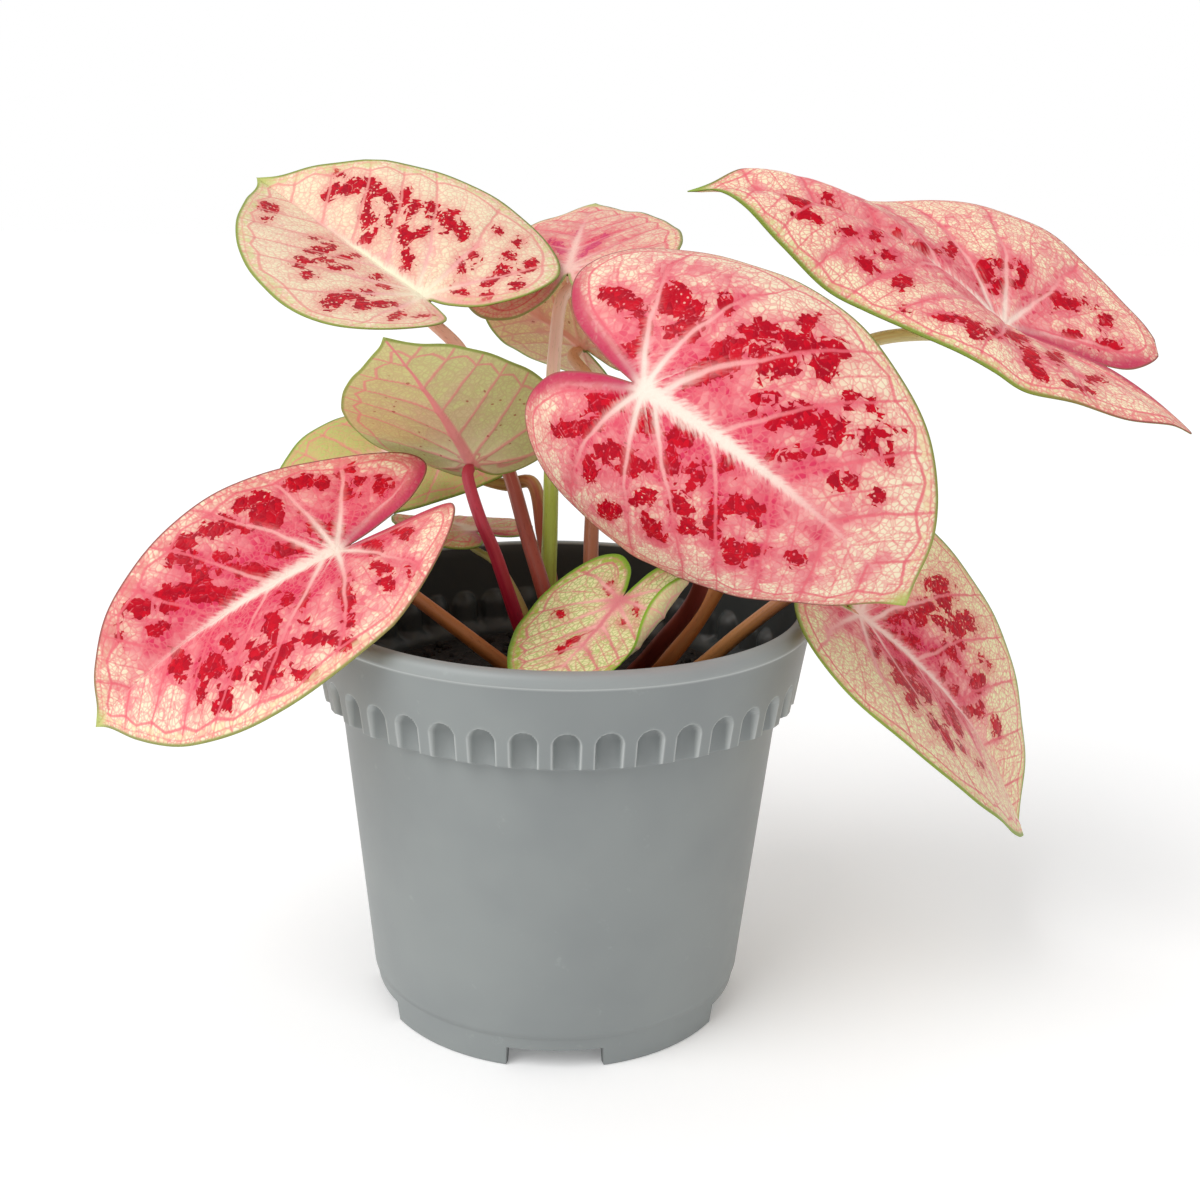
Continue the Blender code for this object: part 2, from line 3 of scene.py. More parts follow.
import bpy
import numpy as np
from mathutils import Matrix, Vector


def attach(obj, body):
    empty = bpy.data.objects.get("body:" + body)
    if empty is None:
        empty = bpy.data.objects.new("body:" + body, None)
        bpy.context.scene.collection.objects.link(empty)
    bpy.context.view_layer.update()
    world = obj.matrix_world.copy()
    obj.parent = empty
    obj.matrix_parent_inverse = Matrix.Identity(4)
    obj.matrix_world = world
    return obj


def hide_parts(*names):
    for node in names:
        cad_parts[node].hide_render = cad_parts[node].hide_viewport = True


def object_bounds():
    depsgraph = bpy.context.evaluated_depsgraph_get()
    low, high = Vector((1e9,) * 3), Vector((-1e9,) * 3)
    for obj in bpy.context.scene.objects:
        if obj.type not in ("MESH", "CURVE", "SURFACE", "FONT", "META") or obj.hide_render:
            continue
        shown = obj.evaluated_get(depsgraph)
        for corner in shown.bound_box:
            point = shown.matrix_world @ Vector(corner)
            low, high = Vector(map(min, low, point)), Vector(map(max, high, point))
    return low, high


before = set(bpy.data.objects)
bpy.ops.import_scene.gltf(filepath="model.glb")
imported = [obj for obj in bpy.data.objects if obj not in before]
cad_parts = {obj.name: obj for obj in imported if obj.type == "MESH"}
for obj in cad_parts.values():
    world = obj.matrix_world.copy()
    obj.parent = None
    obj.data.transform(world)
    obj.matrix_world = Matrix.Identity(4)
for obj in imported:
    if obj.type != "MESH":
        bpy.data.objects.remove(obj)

# A caladium in a fluted plastic nursery pot. Metres, +Z up, -Y is the front. Sizes and places are set
# out from the middle of the pot's base, and each mesh is then moved to where the pot's axis stands.
POT_AXIS = (-0.0247, -0.0033, 0.0)
MILLIMETRES = 1000
CAD_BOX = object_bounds()

# pot
FOOT_RADIUS = 0.0630
BODY_RADIUS = 0.0637
BODY_TAPER = 0.10
FOOT_RING_TOP = 0.0116
SHOULDER_BOTTOM = 0.1095
SHOULDER_TOP = 0.1110
BAND_BOTTOM_RADIUS = 0.0803
BAND_TOP_RADIUS = 0.0843
BAND_TOP = 0.1372
LIP_RADIUS = 0.0850
LIP_INNER_RADIUS = 0.0797
LIP_TOP = 0.1418
WALL = 0.0016
FLOOR_UNDERSIDE = 0.0070
FLOOR_TOP = 0.0086
FLOOR_OVERLAP = 0.0004
FOOT_WALL = 0.0030

# rows of the wall's mesh: spans of (from, to, count) up the outside and down the inside, closer over the
# flutes' arches, and the powers that round the shoulder outwards and upwards
BODY_ROWS = ((FOOT_RING_TOP + 0.0003, 0.0140, 2), (0.0200, 0.1040, 8), (0.1080, 0.1080, 1))
BAND_ROWS = ((0.1114, 0.1176, 7), (0.1180, 0.1231, 19), (0.1240, 0.1365, 8))
INNER_BAND_ROWS = ((0.1370, 0.1260, 6), (0.1245, 0.1175, 12), (0.1165, 0.1125, 4))
INNER_BODY_ROWS = (0.1108, 0.1080, 0.1000, 0.0600, 0.0200, FLOOR_TOP - 0.0006)
SHOULDER_ROWS = 7
SHOULDER_OUT = 0.8
SHOULDER_UP = 1.6

# the lip's rounds, as steps (outwards, up) from the band's top, the lip's foot, its top and its inner edge
LIP_UNDERSIDE = ((0, -0.0003), (0.0002, 0.0001))
LIP_FACE = ((-0.0001, 0.0005), (0, 0.0012))
LIP_ROUND = ((-0.0002, -0.0022), (-0.0006, -0.0012), (-0.0013, -0.0005), (-0.0022, -0.0001), (-0.0032, 0))
INNER_LIP = ((0.0010, 0), (0.0003, -0.0003), (0, -0.0010))
LIP_TOP_ROWS = 2

# rows of the foot ring, as shares of the way up its outside and down its inside, and its rounded edges
FOOT_FRONT_ROWS = (0.0, 0.04, 0.12, 0.5, 0.9, 1.0)
FOOT_BACK_ROWS = (1.0, 0.5, 0.06, 0.0)
FOOT_FRONT_ROUND = 0.0004
FOOT_BACK_ROUND = 0.0003
FOOT_RING_STEP = 0.0003

# flutes round the band
FLUTE_COUNT = 40
FLUTE_RADIUS = 0.0042
FLUTE_AXIS_RADIUS = 0.0808
FLUTE_ARCH_CENTRE = 0.1185
FLUTE_START = math.radians(1.5)
FLUTE_COLUMNS = np.array((0.0, 0.7, 1.4, 2.1, 2.8, 3.3, 3.7, 3.95, 4.2, 4.45, 4.8, 5.6)) / MILLIMETRES
LINING_RADIUS = 0.0056
RIM_SOFTNESS = 0.00025
RIM_WIDTH = 0.00030

# feet and drain holes
FOOT_GAPS = 5
FOOT_GAP_ANGLE = math.radians(29)
FOOT_GAP_HEIGHT = 0.0068
DRAIN_RADIUS = 0.0040
DRAIN_CIRCLE = 0.0420
DRAIN_COUNT = 5
FLOOR_COLUMNS = 72
FLOOR_RINGS = 9
PARALLEL = 1e-6
OUT_OF_REACH = 1.0

# soil
SOIL_TOP = 0.1075
SOIL_MOUND = 0.0015
SOIL_GAP = 0.0004
SOIL_COLUMNS = 300
SOIL_ROWS = 70
SOIL_RING_SPREAD = 0.9
SOIL_SEED = 7
SOIL_SKIRT = 0.0020
NOISE_GRID = 128

# the soil's lumps, as (size, share of the roughness), and how they calm down at the pot's wall
SOIL_LUMPS = ((0.0090, 0.9), (0.0036, 0.6), (0.0016, 0.45))
SOIL_ROUGHNESS = 0.0010
SOIL_EDGE_RISE = 14
SOIL_EDGE_LUMPS = 0.15

# loose crumbs
CRUMBS = 420
CRUMB_COLUMNS = 8
CRUMB_ROWS = 4
CRUMB_SIZES = (0.0006, 0.0021)
CRUMB_FLATNESS = (0.6, 1)
CRUMB_STRETCH = (0.6, 1.25)
CRUMB_JITTER = (0.8, 1.15)
CRUMB_REACH = 0.0690
CRUMB_RISE = 0.35
MOUND_REACH = 0.072

# blades and stalks
BLADE_THICKNESS = 0.0008
MARGIN_THICKNESS = 0.00035
THINNING_WIDTH = 0.004
BLADE_GRID = (48, 384)
SMALL_BLADE_GRID = (30, 256)
SMALL_BLADES = ("back_top", "back_low", "middle", "left_back", "small_back", "small_front")
STALK_FOOT = 0.0954
STALK_ROOT = 0.0040
STALK_FOOT_RADIUS = 0.0030
STALK_TOP_RADIUS = 0.0021
STALK_SIDES = 24
STALK_RINGS = 110
STALK_NECK = (0.0, 0.0060)
STALK_END = 0.0006
STALK_SWELL = 0.0006
STALK_SWELL_REACH = 0.10
STALK_END_REACH = 0.02
STALK_END_LEAST = 0.25
SLIGHT_LEAN = (1e-4, 0, 0)
CURVE_STEPS = 24

# low ribs round a stalk: how many, how far turned, and their height as a share of its radius
STALK_RIBS = ((5, 1, 0.035), (2, 0, 0.02))

# the slimmer stalks' radii at the foot and at the top
SLIM_STALKS = {"small_back": (0.0018, 0.0012), "small_front": (0.0020, 0.0014), "middle": (0.0028, 0.0020)}

# how far behind and below its junction a stalk comes in, where that isn't from straight below
NECKS = {"right_low": (0.0080, 0.0035)}

# the shares of the blade length over which a half curls by its full angle, and the lobes bend by theirs
CURL_REACH = 0.55
LOBE_REACH = 0.38
SLIGHT_BEND = 1e-4

# half of a blade's flat outline as (sideways, forward) shares of the blade length, sinus to tip
OUTLINE = [(0.0, -0.035), (0.028, -0.15), (0.095, -0.29), (0.235, -0.375), (0.41, -0.315),
           (0.535, -0.12), (0.575, 0.12), (0.525, 0.38), (0.385, 0.64), (0.20, 0.84),
           (0.065, 0.955), (0.0, 1.04)]

# Each blade: where the stalk meets it, the compass heading of its midrib (0 = +X, anticlockwise), the
# pitch and roll of its plane there, and its form. Folds and curls are the angles of the two halves. One
# left half lies flat for a share of the blade length and then rolls up.
LEAVES = {
    "front": dict(junction=(0.0220, -0.0760, 0.2230), heading=-29, pitch=-24, roll=-56, length=0.104,
                  width=0.99, right=1.05, lobe=1.08, fold_right=-30, fold_left=25, open_right=13,
                  open_left=14, curl_right=-51, curl_left=-77, droop=64, back=20, twist=-11,
                  stalk=[(0.0210, -0.0090), (0.031, -0.016, 0.128), (0.044, -0.026, 0.1515),
                         (0.0455, -0.042, 0.184), (0.039, -0.057, 0.2055)]),
    "left_low": dict(junction=(-0.0720, -0.0260, 0.1625), heading=202, pitch=-22, roll=49,
                     length=0.102, width=0.88, right=0.75, lobe=1.03, fold_right=0, fold_left=50,
                     open_right=8, open_left=-6, curl_right=-27, curl_left=-33, droop=51, back=-10,
                     twist=31,
                     stalk=[(-0.0070, -0.0110), (-0.020, -0.012, 0.122), (-0.048, -0.014, 0.1445),
                            (-0.060, -0.015, 0.153)]),
    "left_top": dict(junction=(-0.0475, 0.0100, 0.2405), heading=138, pitch=22, roll=18, length=0.089,
                     width=0.99, right=1.08, lobe=0.88, fold_right=19, fold_left=21, open_right=10,
                     open_left=7, curl_right=-27, curl_left=-14, droop=-1, back=-20, twist=7,
                     stalk=[(0.0030, -0.0020), (-0.0057, 0.0010, 0.1420), (-0.0122, 0.0080, 0.1612),
                            (-0.0181, 0.0160, 0.1793), (-0.0248, 0.0180, 0.1954), (-0.0318, 0.0160, 0.2126),
                            (-0.0355, 0.0120, 0.2236)]),
    "right_low": dict(junction=(0.1010, -0.0040, 0.1380), heading=6, pitch=-36, roll=-39, length=0.121,
                      width=0.92, right=0.97, lobe=0.67, fold_right=22, fold_left=8, open_right=4,
                      open_left=4, curl_right=-3, curl_left=-20, droop=37, back=1, twist=-4,
                      stalk=[(0.0360, -0.0060), (0.047, -0.006, 0.119), (0.061, -0.006, 0.132),
                             (0.078, -0.005, 0.1453), (0.086, -0.004, 0.1450)]),
    "back_top": dict(junction=(0.0005, 0.0280, 0.2490), heading=83, pitch=23, roll=12, length=0.068,
                     width=0.99, right=1.00, lobe=1.00, fold_right=5, fold_left=4, open_right=-6,
                     open_left=-4, curl_right=-9, curl_left=-14, droop=12, back=10, twist=-6,
                     stalk=[(-0.0040, 0.0060), (-0.0048, 0.0130, 0.1405), (-0.0045, 0.0170, 0.1610),
                            (-0.0044, 0.0190, 0.1818), (-0.0045, 0.0220, 0.2055), (-0.0037, 0.0250, 0.2239),
                            (-0.0019, 0.0270, 0.2389)]),
    "back_low": dict(junction=(0.0060, 0.0560, 0.2200), heading=174, pitch=39, roll=-40, length=0.045,
                     width=1.11, right=1.02, lobe=1.00, fold_right=11, fold_left=8, open_right=-4,
                     open_left=9, curl_right=-3, curl_left=-15, droop=30, back=10, twist=-30,
                     stalk=[(0.0110, 0.0080), (0.010, 0.020, 0.153), (0.011, 0.034, 0.186),
                            (0.010, 0.041, 0.207)]),
    "middle": dict(junction=(-0.0305, -0.0030, 0.1875), heading=244, pitch=47, roll=-12, length=0.069,
                   width=0.91, right=1.08, lobe=0.58, fold_right=21, fold_left=29, open_right=-20,
                   open_left=-17, curl_right=-9, curl_left=-10, droop=14, back=-17, twist=-8,
                   stalk=[(-0.0060, -0.0030), (-0.014, -0.006, 0.133), (-0.022, -0.009, 0.158),
                          (-0.027, -0.012, 0.171)]),
    "left_back": dict(junction=(-0.0435, 0.0480, 0.1840), heading=189, pitch=-4, roll=22, length=0.067,
                      width=0.91, right=1.03, lobe=1.01, fold_right=0, fold_left=8, open_right=11,
                      open_left=0, curl_right=-31, curl_left=-12, droop=28, back=10, twist=24,
                      stalk=[(0.0030, 0.0140), (-0.0035, 0.0210, 0.1384), (-0.0070, 0.0270, 0.1568),
                             (-0.0109, 0.0320, 0.1741), (-0.0210, 0.0385, 0.1725),
                             (-0.0330, 0.0445, 0.1745)]),
    "small_back": dict(junction=(-0.0325, 0.0360, 0.1560), heading=132, pitch=4, roll=0, length=0.042,
                       width=1.01, right=1.00, lobe=0.96, fold_right=6, fold_left=7, open_right=-4,
                       open_left=0, curl_right=-11, curl_left=-14, droop=14, back=8, twist=-9,
                       stalk=[(-0.0080, 0.0120), (-0.012, 0.012, 0.130), (-0.022, 0.022, 0.146)]),
    "small_front": dict(junction=(0.0185, -0.0340, 0.1500), heading=231, pitch=-33, roll=11,
                        length=0.052, width=1.04, right=1.06, lobe=0.95, fold_right=-18, fold_left=21,
                        open_right=4, open_left=0, curl_right=0, curl_left=0, droop=-20, back=-10,
                        twist=0, flat_left=0.38, roll_radius=0.0045,
                        stalk=[(0.0080, -0.0100), (0.011, -0.012, 0.120), (0.015, -0.018, 0.132)]),
}

# The folded blade at the top right is set out from its own margin instead: points along its far half
# and its near half, from the sinus round the lobe to the tip, and the rise of its midrib.
RIGHT_TOP_JUNCTION = (0.1464, 0.0150, 0.2340)
RIGHT_TOP_FORWARD = (-0.98, 0.03, 0.18)
RIGHT_TOP_UP = (0.10, -0.35, 0.93)
RIGHT_TOP_SINUS = (0.1515, 0.0145, 0.2325)
RIGHT_TOP_FAR = [(0.156, 0.014, 0.231), (0.166, 0.012, 0.227), (0.182, 0.012, 0.222),
                 (0.193, 0.015, 0.221), (0.203, 0.022, 0.225), (0.201, 0.030, 0.233),
                 (0.193, 0.036, 0.242), (0.182, 0.042, 0.253), (0.170, 0.045, 0.263),
                 (0.157, 0.047, 0.269), (0.143, 0.048, 0.273), (0.126, 0.048, 0.274),
                 (0.108, 0.046, 0.273), (0.093, 0.042, 0.274), (0.081, 0.037, 0.277),
                 (0.069, 0.032, 0.2805), (0.058, 0.027, 0.2830), (0.047, 0.022, 0.2785),
                 (0.039, 0.018, 0.276)]
RIGHT_TOP_NEAR = [(0.156, 0.013, 0.231), (0.166, 0.008, 0.227), (0.178, 0.002, 0.223),
                  (0.190, -0.008, 0.215), (0.200, -0.020, 0.205), (0.192, -0.024, 0.208),
                  (0.176, -0.028, 0.210), (0.159, -0.030, 0.215), (0.143, -0.030, 0.218),
                  (0.133, -0.028, 0.224), (0.123, -0.025, 0.229), (0.108, -0.018, 0.235),
                  (0.095, -0.010, 0.240), (0.082, -0.004, 0.247), (0.068, 0.002, 0.260),
                  (0.057, 0.008, 0.271), (0.048, 0.014, 0.276), (0.039, 0.018, 0.276)]
RIGHT_TOP_RISE = 0.012
RIGHT_TOP_STALK = [(0.0270, 0.0010), (0.037, -0.002, 0.121), (0.051, 0.000, 0.142),
                   (0.072, 0.002, 0.186), (0.089, 0.004, 0.219), (0.100, 0.007, 0.229),
                   (0.122, 0.012, 0.2315)]

# the folded blade's flat size, for the places of its veins and patches
RIGHT_TOP = dict(length=0.114, width=0.98, right=1.0, lobe=1.30)

# side veins: how far each leans from the midrib in degrees, where the first leaves it, how far apart they
# leave it and how much they sweep forward, as shares of the blade length, and the turn between the lobes'
VEIN_LEAN = 56
VEIN_FIRST = 0.03
VEIN_PITCH = 0.195
VEIN_SWEEP = 0.5
VEIN_FAN = 36

# the depth in millimetres that stands for far from every patch, how many points of an outline are compared
# at a time, and the least length that a vector is divided by
PATCH_FLOOR = -9.0
OUTLINE_STEP = 64
TINY = 1e-12

# relief: soft quilting between the side veins that fades at the hub and the margin, waves of the margin as
# (how many, how far turned per metre of length, height), and the ribs below
QUILT_HEIGHT = 0.00035
QUILT_WIDTH = 0.0022
QUILT_MIDDLE = 0.6
HUB_FADE = 5
MARGIN_FADE = 0.006
RIPPLES = ((9, 900, 1.0), (17, 400, 0.7))
RIPPLE_HEIGHT = 0.00030
RIPPLE_REACH = 5
MIDRIB_HEIGHT = 0.0009
MIDRIB_WIDTH = 0.0016
MIDRIB_LEAST = 0.0004
MIDRIB_SLIMMEST = 0.05
MIDRIB_START = -0.04
SIDE_RIB_HEIGHT = 0.00025
SIDE_RIB_WIDTH = 0.0007

# crimson patches of each blade's upper face: the middle (sideways, forward), half length and half width as
# shares of the blade length, and the turn of the long way from sideways, in degrees
PATCHES = {
    "front": (
        (-0.18, -0.18, 0.07, 0.03, 90), (-0.13, -0.08, 0.04, 0.02, 35), (-0.25, -0.07, 0.065, 0.045, 40),
        (-0.26, 0.0, 0.035, 0.02, 35), (-0.19, 0.01, 0.045, 0.035, -65), (-0.33, 0.05, 0.03, 0.02, 30),
        (-0.06, -0.11, 0.025, 0.012, -65), (-0.30, 0.17, 0.05, 0.025, -50), (-0.41, 0.26, 0.04, 0.02, -40),
        (-0.33, 0.25, 0.115, 0.025, -65), (-0.38, 0.34, 0.05, 0.03, -80), (-0.33, 0.35, 0.05, 0.035, 15),
        (-0.26, 0.27, 0.05, 0.03, -20), (-0.23, 0.23, 0.04, 0.023, 30), (-0.21, 0.14, 0.05, 0.03, -30),
        (-0.14, 0.13, 0.065, 0.03, -35), (-0.09, 0.10, 0.032, 0.014, -25), (0.09, -0.09, 0.065, 0.035, -60),
        (0.19, -0.16, 0.10, 0.023, -60), (0.02, -0.02, 0.04, 0.014, -60), (0.07, 0.04, 0.045, 0.038, -55),
        (0.06, -0.16, 0.027, 0.012, -65), (0.04, 0.15, 0.045, 0.036, 25), (0.14, 0.17, 0.045, 0.025, 30),
        (0.12, 0.25, 0.035, 0.024, 30), (0.04, 0.30, 0.033, 0.022, 35), (0.21, -0.02, 0.06, 0.03, -60),
        (0.21, 0.06, 0.065, 0.036, -55), (0.30, -0.09, 0.045, 0.032, -10), (0.29, 0.14, 0.048, 0.024, -55),
        (0.42, 0.02, 0.065, 0.035, -50), (0.37, 0.23, 0.055, 0.035, 70), (0.23, 0.26, 0.05, 0.035, 85),
        (0.27, 0.32, 0.035, 0.032, -20), (0.20, 0.37, 0.06, 0.025, 40), (0.13, 0.39, 0.032, 0.028, -50),
        (0.10, 0.45, 0.034, 0.022, 45), (0.25, 0.50, 0.055, 0.04, 45), (0.20, 0.54, 0.03, 0.022, -45),
        (0.13, 0.65, 0.032, 0.028, -70), (-0.15, 0.28, 0.026, 0.014, -50), (-0.13, 0.34, 0.05, 0.016, -65),
        (-0.18, 0.39, 0.05, 0.026, -65), (-0.21, 0.45, 0.037, 0.021, -85), (-0.08, 0.42, 0.054, 0.019, -40),
        (-0.17, 0.46, 0.033, 0.015, -50), (-0.12, 0.57, 0.031, 0.019, -45), (-0.27, 0.55, 0.036, 0.014, -45),
        (-0.23, 0.55, 0.032, 0.02, -45), (-0.24, 0.61, 0.024, 0.021, -60), (-0.32, 0.51, 0.016, 0.014, 0),
        (-0.29, 0.45, 0.017, 0.012, -40), (-0.14, 0.65, 0.015, 0.012, -50)),
    "left_low": (
        (0.27, -0.16, 0.035, 0.018, -80), (0.26, -0.07, 0.03, 0.022, 0), (0.29, -0.01, 0.042, 0.026, 90),
        (0.15, -0.23, 0.034, 0.028, 0), (0.20, -0.17, 0.022, 0.018, 35), (0.17, -0.13, 0.026, 0.016, 55),
        (0.22, 0.13, 0.062, 0.055, 70), (0.29, 0.15, 0.037, 0.023, 90), (0.28, 0.20, 0.029, 0.015, -20),
        (0.25, 0.28, 0.066, 0.031, 75), (0.20, 0.21, 0.026, 0.014, 55), (0.26, 0.38, 0.035, 0.017, 80),
        (0.10, 0.01, 0.067, 0.03, 20), (0.05, -0.03, 0.032, 0.016, -25), (0.22, 0.42, 0.04, 0.025, 50),
        (0.16, 0.31, 0.03, 0.022, 50), (0.15, 0.39, 0.04, 0.019, 55), (0.11, 0.30, 0.035, 0.015, 35),
        (0.05, 0.23, 0.06, 0.02, 45), (0.07, 0.12, 0.05, 0.014, 60), (0.15, 0.49, 0.055, 0.022, 75),
        (0.18, 0.61, 0.043, 0.03, 80), (0.07, 0.39, 0.08, 0.022, 55), (0.12, 0.53, 0.032, 0.014, 55),
        (0.14, 0.71, 0.028, 0.016, -40), (0.08, 0.59, 0.032, 0.016, 55), (-0.06, 0.59, 0.058, 0.03, 5),
        (-0.13, 0.40, 0.041, 0.022, 10), (-0.16, 0.51, 0.037, 0.019, 0), (-0.19, 0.46, 0.05, 0.03, 5),
        (-0.27, 0.41, 0.03, 0.02, 25), (-0.31, 0.48, 0.036, 0.025, 15), (-0.22, 0.53, 0.039, 0.016, -15),
        (-0.25, 0.33, 0.042, 0.025, 15), (-0.32, 0.27, 0.045, 0.034, 60), (-0.36, 0.33, 0.048, 0.028, 20),
        (-0.13, 0.20, 0.039, 0.019, 20), (-0.20, 0.26, 0.05, 0.024, 0), (-0.20, 0.16, 0.053, 0.014, -15),
        (-0.31, 0.06, 0.069, 0.018, -15), (-0.35, 0.07, 0.032, 0.016, -5), (-0.35, 0.18, 0.03, 0.015, 30),
        (-0.43, 0.12, 0.04, 0.016, 25), (-0.43, 0.23, 0.032, 0.018, 30), (-0.13, -0.10, 0.06, 0.028, 0),
        (-0.27, -0.08, 0.045, 0.024, 20), (-0.38, -0.14, 0.024, 0.016, 5), (-0.35, -0.06, 0.033, 0.018, 30),
        (-0.17, -0.20, 0.06, 0.022, 5), (-0.24, 0.04, 0.039, 0.014, -10)),
    "left_top": (
        (-0.15, 0.76, 0.06, 0.036, 45), (-0.23, 0.67, 0.032, 0.017, 40), (0.21, 0.74, 0.036, 0.018, -75),
        (0.14, 0.70, 0.038, 0.03, 20), (0.20, 0.65, 0.053, 0.038, 5), (0.26, 0.58, 0.039, 0.022, 85),
        (0.26, 0.49, 0.048, 0.02, 75), (0.16, 0.51, 0.075, 0.022, 50), (0.24, 0.43, 0.034, 0.015, 50),
        (0.18, 0.40, 0.038, 0.012, 50), (0.12, 0.41, 0.037, 0.012, 50), (0.06, 0.39, 0.031, 0.016, -10),
        (0.31, 0.46, 0.029, 0.013, 50), (0.28, 0.38, 0.046, 0.026, 20), (0.20, 0.26, 0.05, 0.03, -10),
        (0.16, 0.28, 0.054, 0.013, 50), (0.08, 0.18, 0.063, 0.017, 50), (0.33, 0.33, 0.035, 0.022, 50),
        (0.33, 0.24, 0.06, 0.03, 50), (0.38, 0.26, 0.02, 0.016, 0), (0.33, 0.16, 0.042, 0.027, 45),
        (0.45, 0.09, 0.027, 0.016, 40), (0.48, 0.0, 0.035, 0.018, 25), (0.38, -0.06, 0.035, 0.022, 45),
        (0.27, 0.02, 0.035, 0.015, 50), (0.18, -0.01, 0.052, 0.015, 50), (0.30, -0.12, 0.05, 0.022, 25),
        (0.22, -0.15, 0.045, 0.02, 15), (0.39, -0.16, 0.042, 0.02, 25), (0.26, -0.25, 0.036, 0.022, 30),
        (0.10, -0.12, 0.04, 0.016, 80), (0.14, -0.21, 0.03, 0.022, 30), (-0.17, 0.39, 0.07, 0.024, 15),
        (-0.12, 0.33, 0.06, 0.018, 5), (-0.24, 0.30, 0.04, 0.018, 5), (-0.33, 0.31, 0.037, 0.022, 35),
        (-0.21, 0.24, 0.053, 0.017, 0), (-0.37, 0.21, 0.025, 0.015, 0), (-0.10, 0.49, 0.04, 0.014, 10),
        (-0.40, 0.02, 0.07, 0.04, 35), (-0.32, 0.03, 0.055, 0.034, 25), (-0.32, -0.05, 0.05, 0.03, 20),
        (-0.22, 0.05, 0.032, 0.018, 25), (-0.24, -0.06, 0.06, 0.022, -5), (-0.26, -0.18, 0.055, 0.02, 35),
        (-0.16, -0.20, 0.037, 0.018, 15), (-0.11, 0.08, 0.034, 0.014, 5), (-0.10, 0.15, 0.03, 0.012, 5)),
    "right_top": (
        (-0.07, 0.71, 0.055, 0.03, 35), (-0.14, 0.68, 0.033, 0.014, -80), (0.02, 0.58, 0.046, 0.022, 45),
        (-0.15, 0.56, 0.03, 0.018, -60), (-0.25, 0.50, 0.038, 0.022, 55), (-0.10, 0.46, 0.029, 0.013, -25),
        (0.02, 0.37, 0.022, 0.016, 0), (-0.17, 0.43, 0.032, 0.014, -55), (-0.28, 0.39, 0.054, 0.027, -35),
        (0.03, 0.28, 0.048, 0.022, -30), (0.17, 0.21, 0.036, 0.015, 0), (0.14, 0.09, 0.044, 0.025, 0),
        (0.20, 0.06, 0.037, 0.018, -50), (0.23, 0.02, 0.024, 0.013, -45), (0.13, 0.03, 0.048, 0.022, -50),
        (0.20, -0.02, 0.027, 0.012, 5), (0.22, -0.16, 0.056, 0.014, -50), (0.23, -0.20, 0.075, 0.022, -45),
        (0.10, -0.21, 0.024, 0.014, -55), (0.24, -0.32, 0.042, 0.02, -25), (0.15, -0.33, 0.038, 0.013, -50),
        (-0.41, 0.25, 0.055, 0.016, -70), (-0.41, 0.17, 0.049, 0.028, -30), (-0.37, 0.10, 0.04, 0.012, -35),
        (-0.26, 0.01, 0.068, 0.026, -30), (-0.37, -0.02, 0.06, 0.026, -10), (-0.45, -0.03, 0.038, 0.02, 0),
        (-0.27, -0.11, 0.08, 0.02, -15), (-0.45, -0.12, 0.026, 0.018, -80), (-0.30, -0.22, 0.039, 0.014, -25),
        (-0.43, -0.17, 0.038, 0.014, -35), (-0.42, 0.40, 0.014, 0.012, -45)),
    "right_low": (
        (-0.31, 0.24, 0.065, 0.024, -45), (-0.28, 0.27, 0.054, 0.022, -40), (-0.18, 0.19, 0.065, 0.022, -45),
        (-0.14, 0.19, 0.05, 0.026, -40), (-0.07, 0.10, 0.055, 0.02, -50), (-0.28, 0.36, 0.06, 0.02, -55),
        (-0.23, 0.35, 0.056, 0.027, -40), (-0.19, 0.37, 0.033, 0.018, -40), (-0.28, 0.41, 0.042, 0.014, -45),
        (-0.19, 0.26, 0.024, 0.012, -50), (-0.04, 0.18, 0.04, 0.015, -65), (-0.08, 0.28, 0.019, 0.012, -45),
        (-0.13, 0.36, 0.046, 0.019, 85), (-0.05, 0.34, 0.019, 0.014, -40), (-0.03, 0.39, 0.028, 0.012, -75),
        (-0.21, 0.47, 0.018, 0.012, -40), (-0.22, 0.52, 0.019, 0.012, -40), (-0.14, 0.49, 0.042, 0.029, -35),
        (-0.02, 0.48, 0.05, 0.018, -55), (-0.07, 0.53, 0.024, 0.019, -75), (-0.09, 0.64, 0.034, 0.02, 85),
        (0.01, 0.11, 0.044, 0.022, 25), (0.07, 0.03, 0.045, 0.014, -20), (0.15, 0.04, 0.034, 0.013, -15),
        (0.13, 0.12, 0.036, 0.025, -25), (0.20, 0.12, 0.05, 0.025, -20), (0.09, 0.18, 0.06, 0.018, -25),
        (0.19, 0.17, 0.054, 0.032, 0), (0.28, 0.15, 0.037, 0.021, -15), (0.15, 0.23, 0.047, 0.022, -15),
        (0.29, 0.24, 0.035, 0.018, -5), (0.17, 0.32, 0.044, 0.014, -25), (0.10, 0.37, 0.055, 0.026, -20),
        (0.14, 0.39, 0.043, 0.02, -25), (0.30, 0.29, 0.037, 0.019, -5), (0.26, 0.37, 0.025, 0.018, -60),
        (0.22, 0.48, 0.031, 0.013, -40)),
    "back_top": (
        (0.05, 0.12, 0.08, 0.03, 68), (0.11, 0.24, 0.11, 0.024, 70), (-0.08, 0.26, 0.09, 0.018, -65),
        (0.0, 0.01, 0.05, 0.022, -50), (-0.02, 0.48, 0.05, 0.021, -75)),
    "small_front": (
        (-0.18, 0.07, 0.05, 0.014, -55), (-0.16, 0.19, 0.027, 0.016, -20), (0.36, 0.18, 0.036, 0.022, -25),
        (0.12, 0.48, 0.042, 0.018, 90), (0.07, 0.35, 0.06, 0.015, 60), (0.15, -0.10, 0.04, 0.022, -35)),
}

